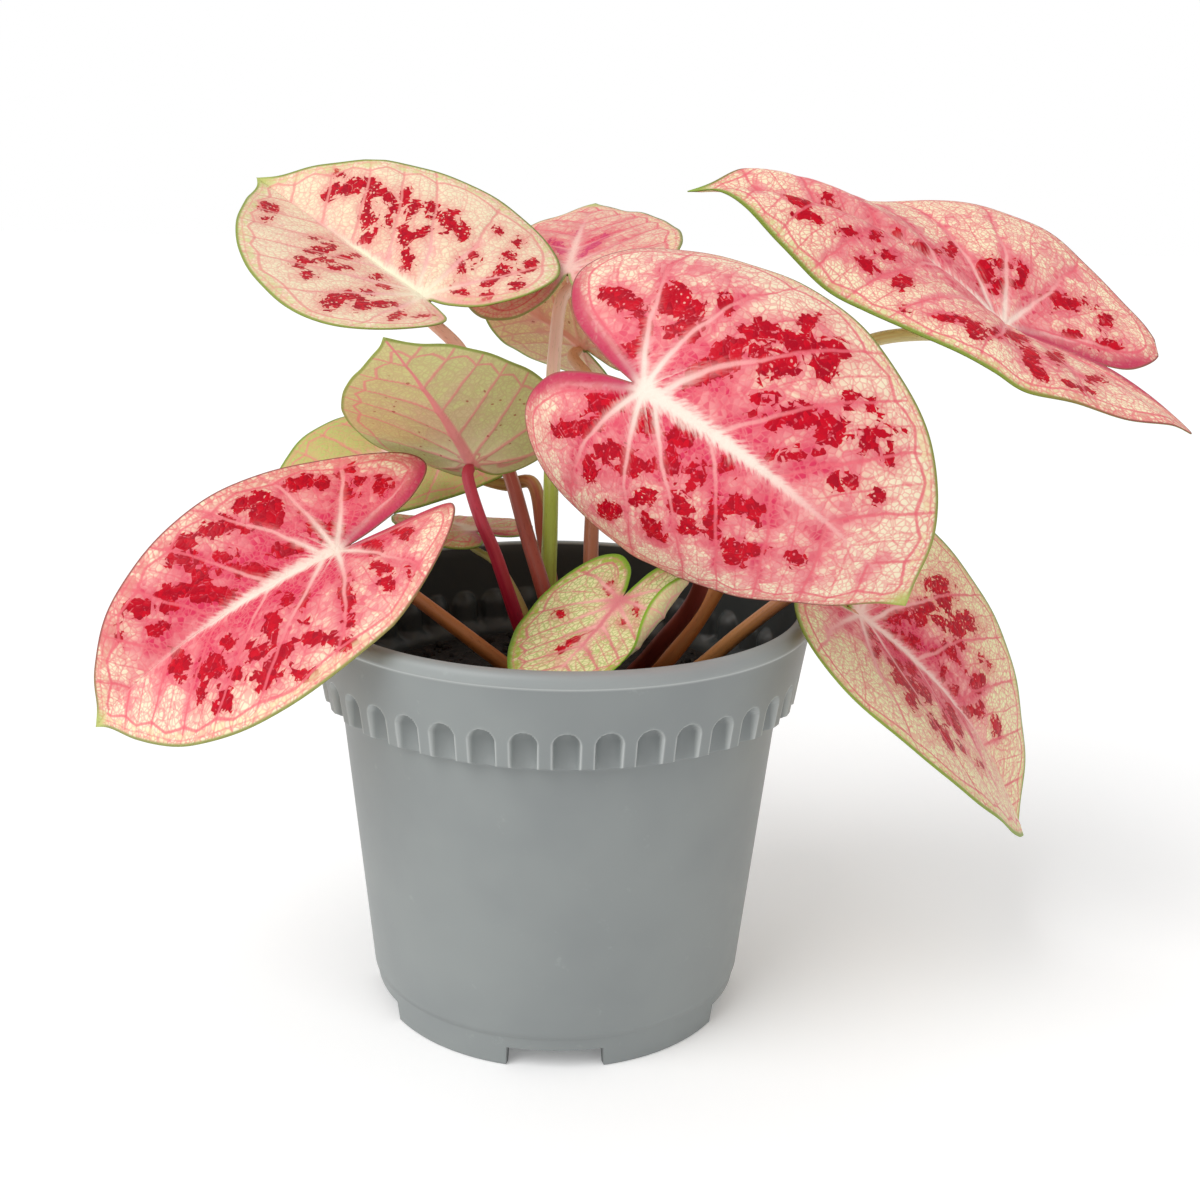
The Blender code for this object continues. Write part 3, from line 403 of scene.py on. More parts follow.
# the camera that took the photograph: where it stood over the pot's base, and how it was turned
CAMERA_DISTANCE = 0.500
CAMERA_HEIGHT = 0.2802
CAMERA_DOWN = math.radians(15.57)
CAMERA_YAW = math.radians(1.49)
CAMERA_ROLL = math.radians(1.35)
CAMERA_LENS = 45.79
SENSOR_WIDTH = 36

# studio light
SOFT_LIGHT_FROM = (-0.75, -0.62, 1.0)
SOFT_LIGHT_STRENGTH = 1.65
SOFT_LIGHT_SPREAD = math.radians(44)
FLOOR_GLOW = 0.15
SURROUND_LIGHT = 0.61
SURROUND_SEEN = 1.0
FLOOR_HALF = 6.0

# A leaf's markings. Their places and widths are in millimetres on the flat blade, or shares of its length
# or of a texture's range. Each pair is where a marking starts to show and where it is full.
CLOUD_SCALE = 0.055
WARP_NOISE = (0.07, 2.0)
WARP = 5.0
FINE_SCALE = 0.9
MESH_SIZE = 5.6
SMALL_MESH_SIZE = 1.7
BLOCK_SIZE = 3.4
NET_LINE = (0.42, 0.12)
SMALL_NET_LINE = (0.28, 0.06)
NET_SHARE = 0.8

# side veins, the fainter ones between them and the midrib
VEIN_WAVER = 0.30
VEIN_THICKNESS = 0.70
VEIN_THINNING = 0.22
VEIN_LINE = (1.6, 0.3)
MINOR_LINE = (0.45, 0.15)
MINOR_RISE = (0.25, 0.5)
RIB_SLIMMING = (0.80, 0.0)
RIB_LEAST = 0.35
RIB_LINE = (2.1, 0.35)
RIB_START = (-0.03, 0.0)
RIB_FADE = (0.30, 1.15)
STREAK_SCALE = 0.9
FEATHERING = 2.1

# the glow beside the midrib, the star and the core round the stalk, and where the veins change colour
GLOW_WIDTH = (5.5, 0.5)
GLOW_START = (-0.01, 0.05)
GLOW_FADE = (0.9, 0.1)
STAR_REACH = (0.36, 0.04)
STAR_LINE = (2.8, 0.1)
CORE = (5.5, 1.6)
SIDE_FLARE = (0.02, 0.20)
SIDE_FADE = (0.20, 0.45)
STAR_FLARE = (0.03, 0.22)
RIB_FLARE = (0.32, 0.70)

# ground: where it turns pinker, and how much pinkness makes pink and rose
VEIN_BORDER = (4.2, 0.3)
BORDER_MIDDLE = 0.4
HEART_WIDTH = (0.26, 0.03)
HEART_LENGTH = (0.85, 0.2)
CENTRE_RISE = (2.0, 16.0)
PINK_RISE = (0.05, 0.62)
ROSE_RISE = (0.50, 1.10)

# crimson patches: their halo, how far each texture shifts their edges, and their cracks and dots
PATCH_HALO = (-4.5, 0.5)
PATCH_SPREAD = 0.30
PATCH_EDGE = (-0.12, 0.12)
JAG_BY_MESH = 1.4
JAG_BY_BLOCK = 2.4
JAG_BY_NOISE = 0.8
CRACK_LINE = (0.20, 0.08)
CRACK_CHOICE = (0.46, 0.60)
DOT_LINE = (0.46, 0.30)
DOT_CHOICE = (0.62, 0.66)

# margin: the green half, the hem, the collecting and outer veins, the sinus, the edge and the tip
GREEN_SLANT = 0.6
GREEN_RISE = (0.26, 0.66)
MARGIN_WAVER = 2.5
HUB_CLEARING = (7.0, 15.0)
HEM = (5.4, 3.6)
HEM_MOTTLE = (0.0, 0.9)
HEM_SHARE = 0.9
LOOP_DEPTH = 4.4
COLLECTING_AT = 6.2
COLLECTING_LINE = (0.75, 0.2)
OUTER_LINE_AT = 2.2
OUTER_LINE = (0.40, 0.1)
MARGIN_NET = (5.0, 0.5)
MARGIN_NET_LINE = (0.35, 0.1)
SINUS_BAND = (7.0, 0.5)
SINUS_BEHIND = (0.0, -0.07)
SINUS_WIDTH = (0.30, 0.12)
EDGE_WIDTH = 0.8
EDGE_LINE = (1.1, 0.3)
EDGE_CLEARING = (2.0, 5.0)
TIP_AT = 1.03
TIP = (10.0, 2.5)

# underside, and the relief and gloss of both faces
FACE_CHANGE = (0.3, 0.7)
UNDER_PINK_RISE = (0.2, 1.0)
UNDER_HEART = (0.30, 0.05)
UNDER_RIB_LINE = (1.3, 0.7)
UNDER_EDGE_LINE = (1.4, 0.4)
SPECK_LINE = (0.75, 0.55)
SPECK_CHOICE = (0.955, 0.965)
SPECK_CLEARING = (6.0, 12.0)
SMALL_MESH_ROUND = (0.0, 0.5)
SMALL_MESH_RELIEF = 0.45
MESH_ROUND = (0.0, 1.2)
MESH_RELIEF = 0.8
VEIN_RELIEF = 0.6
GRAIN_SCALE = 3.0
GRAIN_RELIEF = 0.12
LEAF_BUMP = (0.55, 0.00022)
LEAF_SPECULAR = 0.14
LEAF_ROUGHNESS = 0.46
LEAF_CLOUD_ROUGHNESS = 0.25
PATCH_GLOSS = 0.06
UNDER_ROUGHNESS = 0.12

# A stalk: where its colour turns to that of its middle and its top, as shares of its rise, and its streaks,
# flecks and ridges, each a noise as (stretch along the stalk, scale, detail).
STALK_MIDDLE_RISE = (0.02, 0.45)
STALK_TOP_RISE = (0.48, 0.86)
STALK_STREAKS = (1.2, 2.4, 3.0)
STALK_FLECKS = (14.0, 5.0, 3.0)
STALK_RIDGES = (0.6, 7.0, 2.0)
FLECK_RISE = (0.58, 0.72)
FLECK_SHARE = 0.35
STALK_BUMP = (0.35, 0.00015)
STALK_ROUGHNESS = 0.34
STREAK_ROUGHNESS = 0.22

# The pot's plastic: clouds, scuffs and grain, each a noise as (scale, detail, roughness), and how strongly
# the pale tone shows as painted highlight on the lip, along the flutes' arches and under the lip, and as wear
# on the scuffs.
PLASTIC_CLOUDS = (22.0, 3.0, 0.5)
PLASTIC_SCUFFS = (160.0, 4.0, 0.7)
PLASTIC_GRAIN = (2600.0, 2.0, 0.5)
PLASTIC_CLOUD_RISE = (0.3, 0.7)
SCUFF_RISE = (0.62, 0.80)
# painted highlight on the lip, along the flutes' arches and under the lip, and wear on the scuffs
LIP_HIGHLIGHT_HEIGHT = 0.0004
LIP_HIGHLIGHT_SHARE = 0.16
RIM_HIGHLIGHT_SHARE = 0.65
SCUFF_WEAR = 0.10
PLASTIC_BUMP = (0.12, 0.00004)
PLASTIC_ROUGHNESS = 0.38
CLOUD_ROUGHNESS = 0.14
SCUFF_ROUGHNESS = 0.10

# the potting mix: lumps and fibres, each a noise as (scale, detail, roughness)
MIX_LUMPS = (420.0, 5.0, 0.65)
MIX_FIBRES = (1500.0, 3.0, 0.6)
MIX_LUMP_RISE = (0.38, 0.66)
MIX_FIBRE_RISE = (0.62, 0.75)
MIX_FIBRE_SHARE = 0.6
MIX_FIBRE_HEIGHT = 0.5
MIX_BUMP = (0.9, 0.0008)
MIX_ROUGHNESS = 0.78
FIBRE_ROUGHNESS = 0.2

# the floor's faint clouding, as a noise's scale and detail, and its matt face
FLOOR_CLOUDS = (3.0, 2.0)
FLOOR_ROUGHNESS = 0.9


def tone(red, green, blue):
    """A colour of 0 to 255 screen values as the linear light that a shader takes."""
    share = np.array((red, green, blue)) / 255
    linear = np.where(share <= 0.04045, share / 12.92, ((share + 0.055) / 1.055) ** 2.4)
    return (*(float(part) for part in linear), 1.0)


# the pot's two greys, a pale tone for painted highlight and scuff wear, a dark grey for painted shade inside,
# the soil when damp, when browner and its fibres, and the floor's two whites
POT_GREYS = (tone(131, 136, 136), tone(139, 144, 143), tone(206, 210, 208), tone(62, 66, 66))
SOIL_BROWNS = (tone(16, 12, 11), tone(44, 34, 28), tone(88, 68, 52))
FLOOR_WHITES = (tone(250, 250, 250), tone(252, 252, 252))

# A leaf's look: where its textures start, what makes it pinker, how strongly each marking shows, whether
# the left half of its margin is the greener, and its colours.
LEAF_LOOK = dict(
    start=0.0, pinkness=0.0, clouds=1.5, meshes=0.30, small_meshes=0.35, border=0.32, centre=0.42,
    heart=0.42, half_cream=0.0, net=0.55, halo=0.45, crack=0.55, rib=1.7, side_veins=0.80, star=0.66,
    glow=0.60, core=0.85, margin=0.75, collecting=0.8, outer_line=0.45, margin_net=0.40, sinus=0.9,
    edge_width=0.5, tip=0.85, under_nets=0.35, under_hub=0.75, under_veins=0.8, specks=0.65,
    greener_left=False,
    cream=tone(248, 232, 200), pink=tone(238, 152, 152), rose=tone(218, 54, 90),
    net_colour=tone(234, 128, 132), vein_colour=tone(232, 106, 118), flare=tone(248, 230, 216),
    rib_far=tone(246, 178, 174), crimson=tone(206, 0, 32), deep_crimson=tone(166, 0, 30),
    margin_colour=tone(242, 228, 176), pink_margin=tone(222, 140, 128), pink_edge=tone(160, 92, 84),
    sinus_colour=tone(190, 40, 84), edge_colour=tone(176, 160, 104), tip_colour=tone(190, 200, 112),
    under=tone(216, 210, 154), under_pink=tone(234, 176, 160), under_net=tone(222, 148, 140),
    under_vein=tone(236, 166, 156), under_heart=tone(240, 196, 172))

LEAF_LOOKS = {
    "front": dict(LEAF_LOOK, start=1.0, pinkness=0.12, half_cream=0.36, greener_left=True, heart=0.55,
                  edge_colour=tone(156, 160, 80), tip_colour=tone(184, 196, 100)),
    "left_low": dict(LEAF_LOOK, start=2.0, pinkness=0.20, half_cream=0.26, heart=0.70, greener_left=True,
                     edge_colour=tone(156, 160, 90)),
    "left_top": dict(LEAF_LOOK, start=3.0, pinkness=-0.38, heart=0.15, net=0.35, rib=1.5, sinus=0.5,
                     cream=tone(248, 234, 198), pink=tone(248, 200, 182), rose=tone(230, 90, 106),
                     sinus_colour=tone(238, 150, 150), vein_colour=tone(238, 152, 144),
                     margin_colour=tone(216, 220, 152), margin=0.9,
                     edge_colour=tone(146, 160, 76), flare=tone(253, 242, 212), under=tone(240, 206, 170),
                     under_pink=tone(240, 176, 158)),
    "right_top": dict(LEAF_LOOK, start=4.0, pinkness=-0.05, rib=1.3, net=0.65, greener_left=True,
                      cream=tone(250, 236, 198), margin_colour=tone(214, 216, 146),
                      edge_colour=tone(132, 152, 60), edge_width=1.6, tip_colour=tone(150, 180, 70)),
    "right_low": dict(LEAF_LOOK, start=5.0, pinkness=-0.40, heart=1.15, rib=1.0, cream=tone(246, 242, 190),
                      pink=tone(246, 176, 168), margin_colour=tone(222, 226, 150), sinus=0.2,
                      edge_colour=tone(146, 164, 72), edge_width=1.2, flare=tone(252, 214, 204), margin=0.9,
                      tip_colour=tone(176, 196, 84)),
    "back_top": dict(LEAF_LOOK, start=6.0, pinkness=0.0, heart=0.1, rib=0.9, cream=tone(238, 208, 178),
                     sinus=0.15, sinus_colour=tone(234, 160, 156), flare=tone(244, 196, 184),
                     rib_far=tone(236, 160, 158), pink=tone(228, 160, 148), crimson=tone(214, 70, 110),
                     deep_crimson=tone(204, 56, 96), under=tone(238, 214, 172),
                     under_pink=tone(232, 184, 160), edge_colour=tone(160, 166, 100)),
    "back_low": dict(LEAF_LOOK, start=7.0, pinkness=-0.3, sinus=0.0, cream=tone(252, 234, 206),
                     pink=tone(248, 206, 190), net=0.3, under=tone(248, 232, 178),
                     under_pink=tone(246, 190, 166), under_vein=tone(240, 176, 156),
                     edge_colour=tone(150, 176, 84), edge_width=1.0),
    "middle": dict(LEAF_LOOK, start=8.0, under=tone(220, 222, 154), under_pink=tone(222, 204, 158),
                   under_net=tone(206, 176, 138), under_vein=tone(238, 152, 148),
                   under_heart=tone(244, 228, 186), edge_colour=tone(160, 172, 88)),
    "left_back": dict(LEAF_LOOK, start=9.0, pinkness=-0.7, net=0.2, cream=tone(192, 198, 118),
                      pink=tone(226, 170, 146), vein_colour=tone(226, 146, 132),
                      margin_colour=tone(186, 204, 112), margin=0.9, sinus=0.1,
                      edge_colour=tone(136, 160, 70)),
    "small_back": dict(LEAF_LOOK, start=10.0, pinkness=-0.6, cream=tone(220, 220, 160),
                       margin_colour=tone(190, 200, 116), edge_colour=tone(140, 160, 74)),
    "small_front": dict(LEAF_LOOK, start=11.0, pinkness=-0.7, heart=0.35, border=0.55, rib=0.6, sinus=0.0,
                        cream=tone(230, 228, 172), pink=tone(226, 166, 152), rose=tone(206, 84, 110),
                        flare=tone(222, 130, 136), net_colour=tone(146, 170, 72), edge_width=1.3,
                        vein_colour=tone(214, 120, 124), margin=1.0, margin_colour=tone(158, 188, 62),
                        edge_colour=tone(128, 166, 50), tip_colour=tone(150, 184, 60)),
}

# a stalk's colours at its foot, its middle and its top, and of its flecks
STALK_LOOKS = {
    "front": (tone(140, 52, 34), tone(128, 50, 38), tone(180, 96, 74), tone(84, 26, 20)),
    "left_low": (tone(184, 96, 46), tone(200, 124, 64), tone(206, 140, 108), tone(120, 52, 26)),
    "left_top": (tone(164, 50, 34), tone(152, 66, 48), tone(242, 204, 178), tone(96, 26, 20)),
    "right_top": (tone(176, 104, 52), tone(184, 120, 60), tone(204, 196, 132), tone(110, 54, 26)),
    "right_low": (tone(190, 122, 54), tone(206, 142, 78), tone(214, 150, 120), tone(126, 66, 32)),
    "back_top": (tone(140, 110, 44), tone(176, 192, 72), tone(248, 214, 196), tone(130, 132, 46)),
    "back_low": (tone(150, 60, 40), tone(176, 110, 80), tone(226, 184, 146), tone(110, 50, 34)),
    "middle": (tone(136, 10, 30), tone(160, 16, 44), tone(184, 48, 68), tone(92, 8, 20)),
    "left_back": (tone(160, 54, 36), tone(166, 78, 50), tone(190, 170, 96), tone(92, 26, 20)),
    "small_back": (tone(164, 100, 52), tone(172, 142, 74), tone(190, 182, 96), tone(110, 56, 30)),
    "small_front": (tone(168, 158, 84), tone(178, 188, 94), tone(188, 198, 114), tone(126, 106, 52)),
}


def in_scene(name, data):
    """A new object, linked to the scene."""
    thing = bpy.data.objects.new(name, data)
    bpy.context.scene.collection.objects.link(thing)
    return thing


def new_piece(name, points, faces, material, slot, *nodes):
    """A smooth mesh object from points round the pot's axis, kept inside the CAD's box, which takes the
    place of CAD nodes."""
    data = bpy.data.meshes.new(name)
    places = np.clip(np.asarray(points).reshape(-1, 3) + POT_AXIS, *CAD_BOX)
    data.from_pydata(places.tolist(), [], faces)
    data.polygons.foreach_set("use_smooth", [True] * len(data.polygons))
    data.materials.append(material)
    data.update()
    piece = in_scene(name, data)
    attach(piece, "root")
    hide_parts(*nodes)
    return piece


def add_attribute(piece, name, values):
    """A vector at each point of the mesh, for its material to read."""
    layer = piece.data.attributes.new(name, "FLOAT_VECTOR", "POINT")
    layer.data.foreach_set("vector", np.asarray(values, dtype=np.float32).ravel())


def grid_faces(rows, columns, wrap_rows=False):
    """Quads of a grid whose columns close on themselves, and its rows too if asked."""
    index = np.arange(rows * columns).reshape(rows, columns)
    if wrap_rows:
        index = np.vstack([index, index[:1]])
    beside = np.roll(index, -1, axis=1)
    quads = np.stack([index[:-1], beside[:-1], beside[1:], index[1:]], axis=-1)
    return quads.reshape(-1, 4)


def fan_faces(hub, ring, outward):
    """Triangles from one point to a closed ring of points."""
    beside = np.roll(ring, -1)
    hubs = np.full(len(ring), hub)
    order = (hubs, ring, beside) if outward else (hubs, beside, ring)
    return np.stack(order, axis=-1)


def closed_faces(rows, columns, outward=True):
    """Faces of a grid of points with one more point beyond its first row and one beyond its last."""
    quads, count, ring = grid_faces(rows, columns), rows * columns, np.arange(columns)
    faces = (quads[:, ::-1] if outward else quads).tolist()
    faces += fan_faces(count, ring, outward).tolist()
    faces += fan_faces(count + 1, ring + count - columns, not outward).tolist()
    return faces


def value_noise(x, y, size, seed):
    """Smooth random heights from -1 to 1, from a grid of random values eased between neighbours."""
    table = np.random.default_rng(seed).uniform(-1, 1, (NOISE_GRID, NOISE_GRID))
    u, v = x / size + NOISE_GRID // 2, y / size + NOISE_GRID // 2
    i, j = np.floor(u).astype(int), np.floor(v).astype(int)
    s, t = u - i, v - j
    s, t = s * s * (3 - 2 * s), t * t * (3 - 2 * t)
    i, j = i % (NOISE_GRID - 1), j % (NOISE_GRID - 1)
    low = table[i, j] * (1 - s) + table[i + 1, j] * s
    high = table[i, j + 1] * (1 - s) + table[i + 1, j + 1] * s
    return low * (1 - t) + high * t


def soft_least(a, b, softness):
    """The lesser of two values, with the crossing rounded over the given softness."""
    blend = np.clip(0.5 + 0.5 * (b - a) / softness, 0, 1)
    return b + (a - b) * blend - softness * blend * (1 - blend)


def body_radius(z):
    """Outside radius of the pot's body, which widens evenly upwards."""
    return BODY_RADIUS + BODY_TAPER * z


def flute_angles():
    """Angles round the pot, close together at each flute, and how far each is from a flute's middle."""
    offsets = np.concatenate([-FLUTE_COLUMNS[:0:-1], FLUTE_COLUMNS])
    pitch = 2 * math.pi / FLUTE_COUNT
    turns = np.concatenate([offsets / BAND_BOTTOM_RADIUS, [pitch / 2]])
    middles = FLUTE_START + pitch * np.arange(FLUTE_COUNT) - math.pi / 2
    angles = (middles[:, None] + turns).ravel()
    aside = np.tile(np.abs(np.append(offsets, pitch / 2 * BAND_BOTTOM_RADIUS)), FLUTE_COUNT)
    return angles, aside


def niche_radius(aside, z, radius):
    """How far out a rod at the flute's axis leaves room: its round front, closed by a dome at the top."""
    above = np.clip(z - FLUTE_ARCH_CENTRE, 0, None)
    left = radius ** 2 - aside ** 2 - above ** 2
    return np.where(left > 0, FLUTE_AXIS_RADIUS - np.sqrt(np.clip(left, 0, None)), OUT_OF_REACH)


def foot_bottom(angles):
    """The height of the foot ring's lower edge: on the floor at the feet, raised at the gaps between."""
    pitch = 2 * math.pi / FOOT_GAPS
    turned = np.abs((angles + math.pi / 2 + pitch / 2) % pitch - pitch / 2)
    return np.where(turned < FOOT_GAP_ANGLE / 2, FOOT_GAP_HEIGHT, 0.0)


def rows_over(spans):
    """Heights of rows, evenly spaced in each span of (from, to, count)."""
    return np.concatenate([np.linspace(*span) for span in spans])


def set_off(radius, height, steps):
    """Points of a profile, set off from a corner by steps of (outwards, up)."""
    return [(radius + out, height + up) for out, up in steps]


def outer_profile():
    """Radius and height up the outside, from the foot ring's top, with close rows over the flutes."""
    body, band = rows_over(BODY_ROWS), rows_over(BAND_ROWS)
    share = np.linspace(0, 1, SHOULDER_ROWS)
    low = body_radius(SHOULDER_BOTTOM)
    shoulder_out = low + (BAND_BOTTOM_RADIUS - low) * share ** SHOULDER_OUT
    shoulder_up = SHOULDER_BOTTOM + (SHOULDER_TOP - SHOULDER_BOTTOM) * share ** SHOULDER_UP
    slope = (BAND_TOP_RADIUS - BAND_BOTTOM_RADIUS) / (BAND_TOP - SHOULDER_TOP)
    band_out = BAND_BOTTOM_RADIUS + (band - SHOULDER_TOP) * slope
    lip = (set_off(BAND_TOP_RADIUS, BAND_TOP, LIP_UNDERSIDE) + set_off(LIP_RADIUS, BAND_TOP, LIP_FACE)
           + set_off(LIP_RADIUS, LIP_TOP, LIP_ROUND))
    return np.vstack([np.stack([body_radius(body), body], axis=1),
                      np.stack([shoulder_out, shoulder_up], axis=1),
                      np.stack([band_out, band], axis=1), lip])


def inner_profile():
    """Radius and height down the inside, from the lip to just above the floor."""
    band, body = rows_over(INNER_BAND_ROWS), np.array(INNER_BODY_ROWS)
    share = (band - SHOULDER_TOP) / (LIP_TOP - SHOULDER_TOP)
    low = BAND_BOTTOM_RADIUS - WALL
    return np.vstack([set_off(LIP_INNER_RADIUS, LIP_TOP, INNER_LIP),
                      np.stack([low + (LIP_INNER_RADIUS - low) * share, band], axis=1),
                      np.stack([body_radius(body) - WALL, body], axis=1)])


def fluted(profile, aside, rod, start):
    """A profile's radii round the pot: above the start, the lesser of the profile and the rod's niches."""
    radius, height = profile[:, :1], profile[:, 1:]
    niche = niche_radius(aside, height, rod)
    return np.where(height > start, soft_least(radius, niche, RIM_SOFTNESS), radius)


def foot_front(bottom):
    """Radii and heights up the foot ring's outside, from its lower edge, which is drawn in a little."""
    share = np.array(FOOT_FRONT_ROWS)[:, None]
    height = bottom + (FOOT_RING_TOP - FOOT_RING_STEP - bottom) * share
    return FOOT_RADIUS + BODY_TAPER * height - FOOT_FRONT_ROUND * (share == 0), height


def foot_back(bottom):
    """Radii and heights down the foot ring's inside, from the floor to its lower edge."""
    share = np.array(FOOT_BACK_ROWS)[:, None]
    height = bottom + (FLOOR_UNDERSIDE + FLOOR_OVERLAP - bottom) * share
    return np.full_like(height, FOOT_RADIUS - FOOT_WALL) + FOOT_BACK_ROUND * (share == 0), height


def rim_highlight_marks(aside, height):
    """Where the painted highlight goes: 1 along each flute's arch and under the lip, and less away from them,
    as a bell curve.
    """
    above = np.clip(height - FLUTE_ARCH_CENTRE, 0, None)
    from_arch = (np.hypot(aside, above) - FLUTE_RADIUS) / RIM_WIDTH
    from_lip = (height - BAND_TOP) / RIM_WIDTH
    return np.maximum(np.exp(-from_arch ** 2) * (height > SHOULDER_BOTTOM), np.exp(-from_lip ** 2))


def pot_shell(material):
    """Wall of the pot: a closed profile swept round the axis. Outside, the radius is the lesser of the
    profile and the flutes' niches, and inside, the lesser of the wall and the rounds that line them."""
    angles, aside = flute_angles()
    bottom = foot_bottom(angles)
    outside, inside = outer_profile(), inner_profile()
    outer = fluted(outside, aside, FLUTE_RADIUS, SHOULDER_BOTTOM)
    outer = np.maximum(outer, np.minimum(body_radius(outside[:, 1:]), outside[:, :1]))
    inner = fluted(inside, aside, LINING_RADIUS, SHOULDER_TOP)
    front_radius, front_height = foot_front(bottom)
    back_radius, back_height = foot_back(bottom)
    radius = np.vstack([front_radius, outer, inner, back_radius])
    height = np.vstack([front_height, np.broadcast_to(outside[:, 1:], outer.shape),
                        np.broadcast_to(inside[:, 1:], inner.shape), back_height])
    points = np.stack([radius * np.cos(angles), radius * np.sin(angles), height], axis=-1)
    faces = grid_faces(*radius.shape, wrap_rows=True)
    shell = new_piece("pot_shell", points, faces.tolist(), material, "pot_plastic", "pot")
    # painted highlight along the flutes' arches and under the lip, and painted shade inside the pot and the
    # foot ring
    rim_highlight, inside_shade_mask = np.zeros(radius.shape), np.zeros(radius.shape)
    first = len(front_radius)
    last = first + len(outer)
    rim_highlight[first:last] = rim_highlight_marks(aside, outside[:, 1:])
    inside_shade_mask[last + LIP_TOP_ROWS:] = 1
    add_attribute(shell, "pot_painted_light", np.stack([rim_highlight, inside_shade_mask, 0 * inside_shade_mask], axis=-1))
    return shell


def wedge_reach(ways):
    """How far one drain hole's wedge of the floor reaches each way: to the pot's wall or its own side."""
    radius = body_radius(FLOOR_TOP) - WALL + FLOOR_OVERLAP
    hole = np.array((DRAIN_CIRCLE, 0.0))
    along = ways @ hole
    reach = -along + np.sqrt(along ** 2 + radius ** 2 - DRAIN_CIRCLE ** 2)
    half_wedge = math.pi / DRAIN_COUNT
    for side in (1, -1):
        normal = np.array((-math.sin(half_wedge), side * math.cos(half_wedge)))
        facing = ways @ normal
        meets = facing > PARALLEL
        to_side = np.where(meets, -(hole @ normal) / np.where(meets, facing, 1), OUT_OF_REACH)
        reach = np.minimum(reach, to_side)
    return reach


def pot_floor(material):
    """Floor plate in five wedges, each a set of rings that spread from its drain hole to its edges."""
    turns = 2 * math.pi * np.arange(FLOOR_COLUMNS) / FLOOR_COLUMNS
    ways = np.stack([np.cos(turns), np.sin(turns)], axis=1)
    spread = np.linspace(0, 1, FLOOR_RINGS)[:, None]
    out = DRAIN_RADIUS + (wedge_reach(ways) - DRAIN_RADIUS) * spread
    flat = np.array((DRAIN_CIRCLE, 0.0)) + out[..., None] * ways
    top = np.dstack([flat, np.full(out.shape, FLOOR_TOP)])[::-1]
    under = np.dstack([flat, np.full(out.shape, FLOOR_UNDERSIDE)])
    rows = np.vstack([top, under])
    wedge_faces = grid_faces(2 * FLOOR_RINGS, FLOOR_COLUMNS, wrap_rows=True)[:, ::-1]
    points, quads = [], []
    for index in range(DRAIN_COUNT):
        turn = 2 * math.pi * (index + 0.5) / DRAIN_COUNT - math.pi / 2
        cosine, sine = math.cos(turn), math.sin(turn)
        points.append(rows.reshape(-1, 3) @ np.array(((cosine, sine, 0), (-sine, cosine, 0), (0, 0, 1))))
        quads.append(wedge_faces + index * rows.shape[0] * FLOOR_COLUMNS)
    faces = np.vstack(quads).tolist()
    return new_piece("pot_floor", np.vstack(points), faces, material, "pot_plastic", "pot")


def soil_bed(material):
    """Potting mix: a disc of rings, gently mounded, roughened by noise of three sizes, with a skirt below."""
    edge = body_radius(SOIL_TOP) - WALL - SOIL_GAP
    share = np.linspace(0, 1, SOIL_ROWS)[1:, None] ** SOIL_RING_SPREAD
    turns = 2 * math.pi * np.arange(SOIL_COLUMNS) / SOIL_COLUMNS
    x, y = share * edge * np.cos(turns), share * edge * np.sin(turns)
    rough = sum(height * value_noise(x, y, size, SOIL_SEED + order)
                for order, (size, height) in enumerate(SOIL_LUMPS))
    calm = np.clip((1 - share) * SOIL_EDGE_RISE, SOIL_EDGE_LUMPS, 1)
    top = np.dstack([x, y, SOIL_TOP + SOIL_MOUND * (1 - share) + SOIL_ROUGHNESS * rough * calm])
    skirt_radius = np.array((edge, body_radius(FLOOR_TOP) - WALL - 2 * SOIL_GAP))[:, None]
    skirt_height = np.array((SOIL_TOP - SOIL_SKIRT, FLOOR_TOP + SOIL_GAP))[:, None] + 0 * turns
    skirt = np.dstack([skirt_radius * np.cos(turns), skirt_radius * np.sin(turns), skirt_height])
    rows = np.vstack([top, skirt])
    points = np.vstack([rows.reshape(-1, 3), [(0, 0, SOIL_TOP + SOIL_MOUND), (0, 0, FLOOR_TOP + SOIL_GAP)]])
    faces = closed_faces(len(rows), SOIL_COLUMNS)
    return new_piece("soil_bed", points, faces, material, "potting_soil", "soil")


def crumb_globe():
    """The points of a small globe of radius 1: rings from near its top down, and then its two poles."""
    tilt = math.pi * (np.arange(1, CRUMB_ROWS) / CRUMB_ROWS)[:, None]
    turn = 2 * math.pi * np.arange(CRUMB_COLUMNS) / CRUMB_COLUMNS
    out = np.sin(tilt)
    rings = np.stack([out * np.cos(turn), out * np.sin(turn), np.cos(tilt) + 0 * turn], axis=-1)
    return np.vstack([rings.reshape(-1, 3), [(0, 0, 1), (0, 0, -1)]])


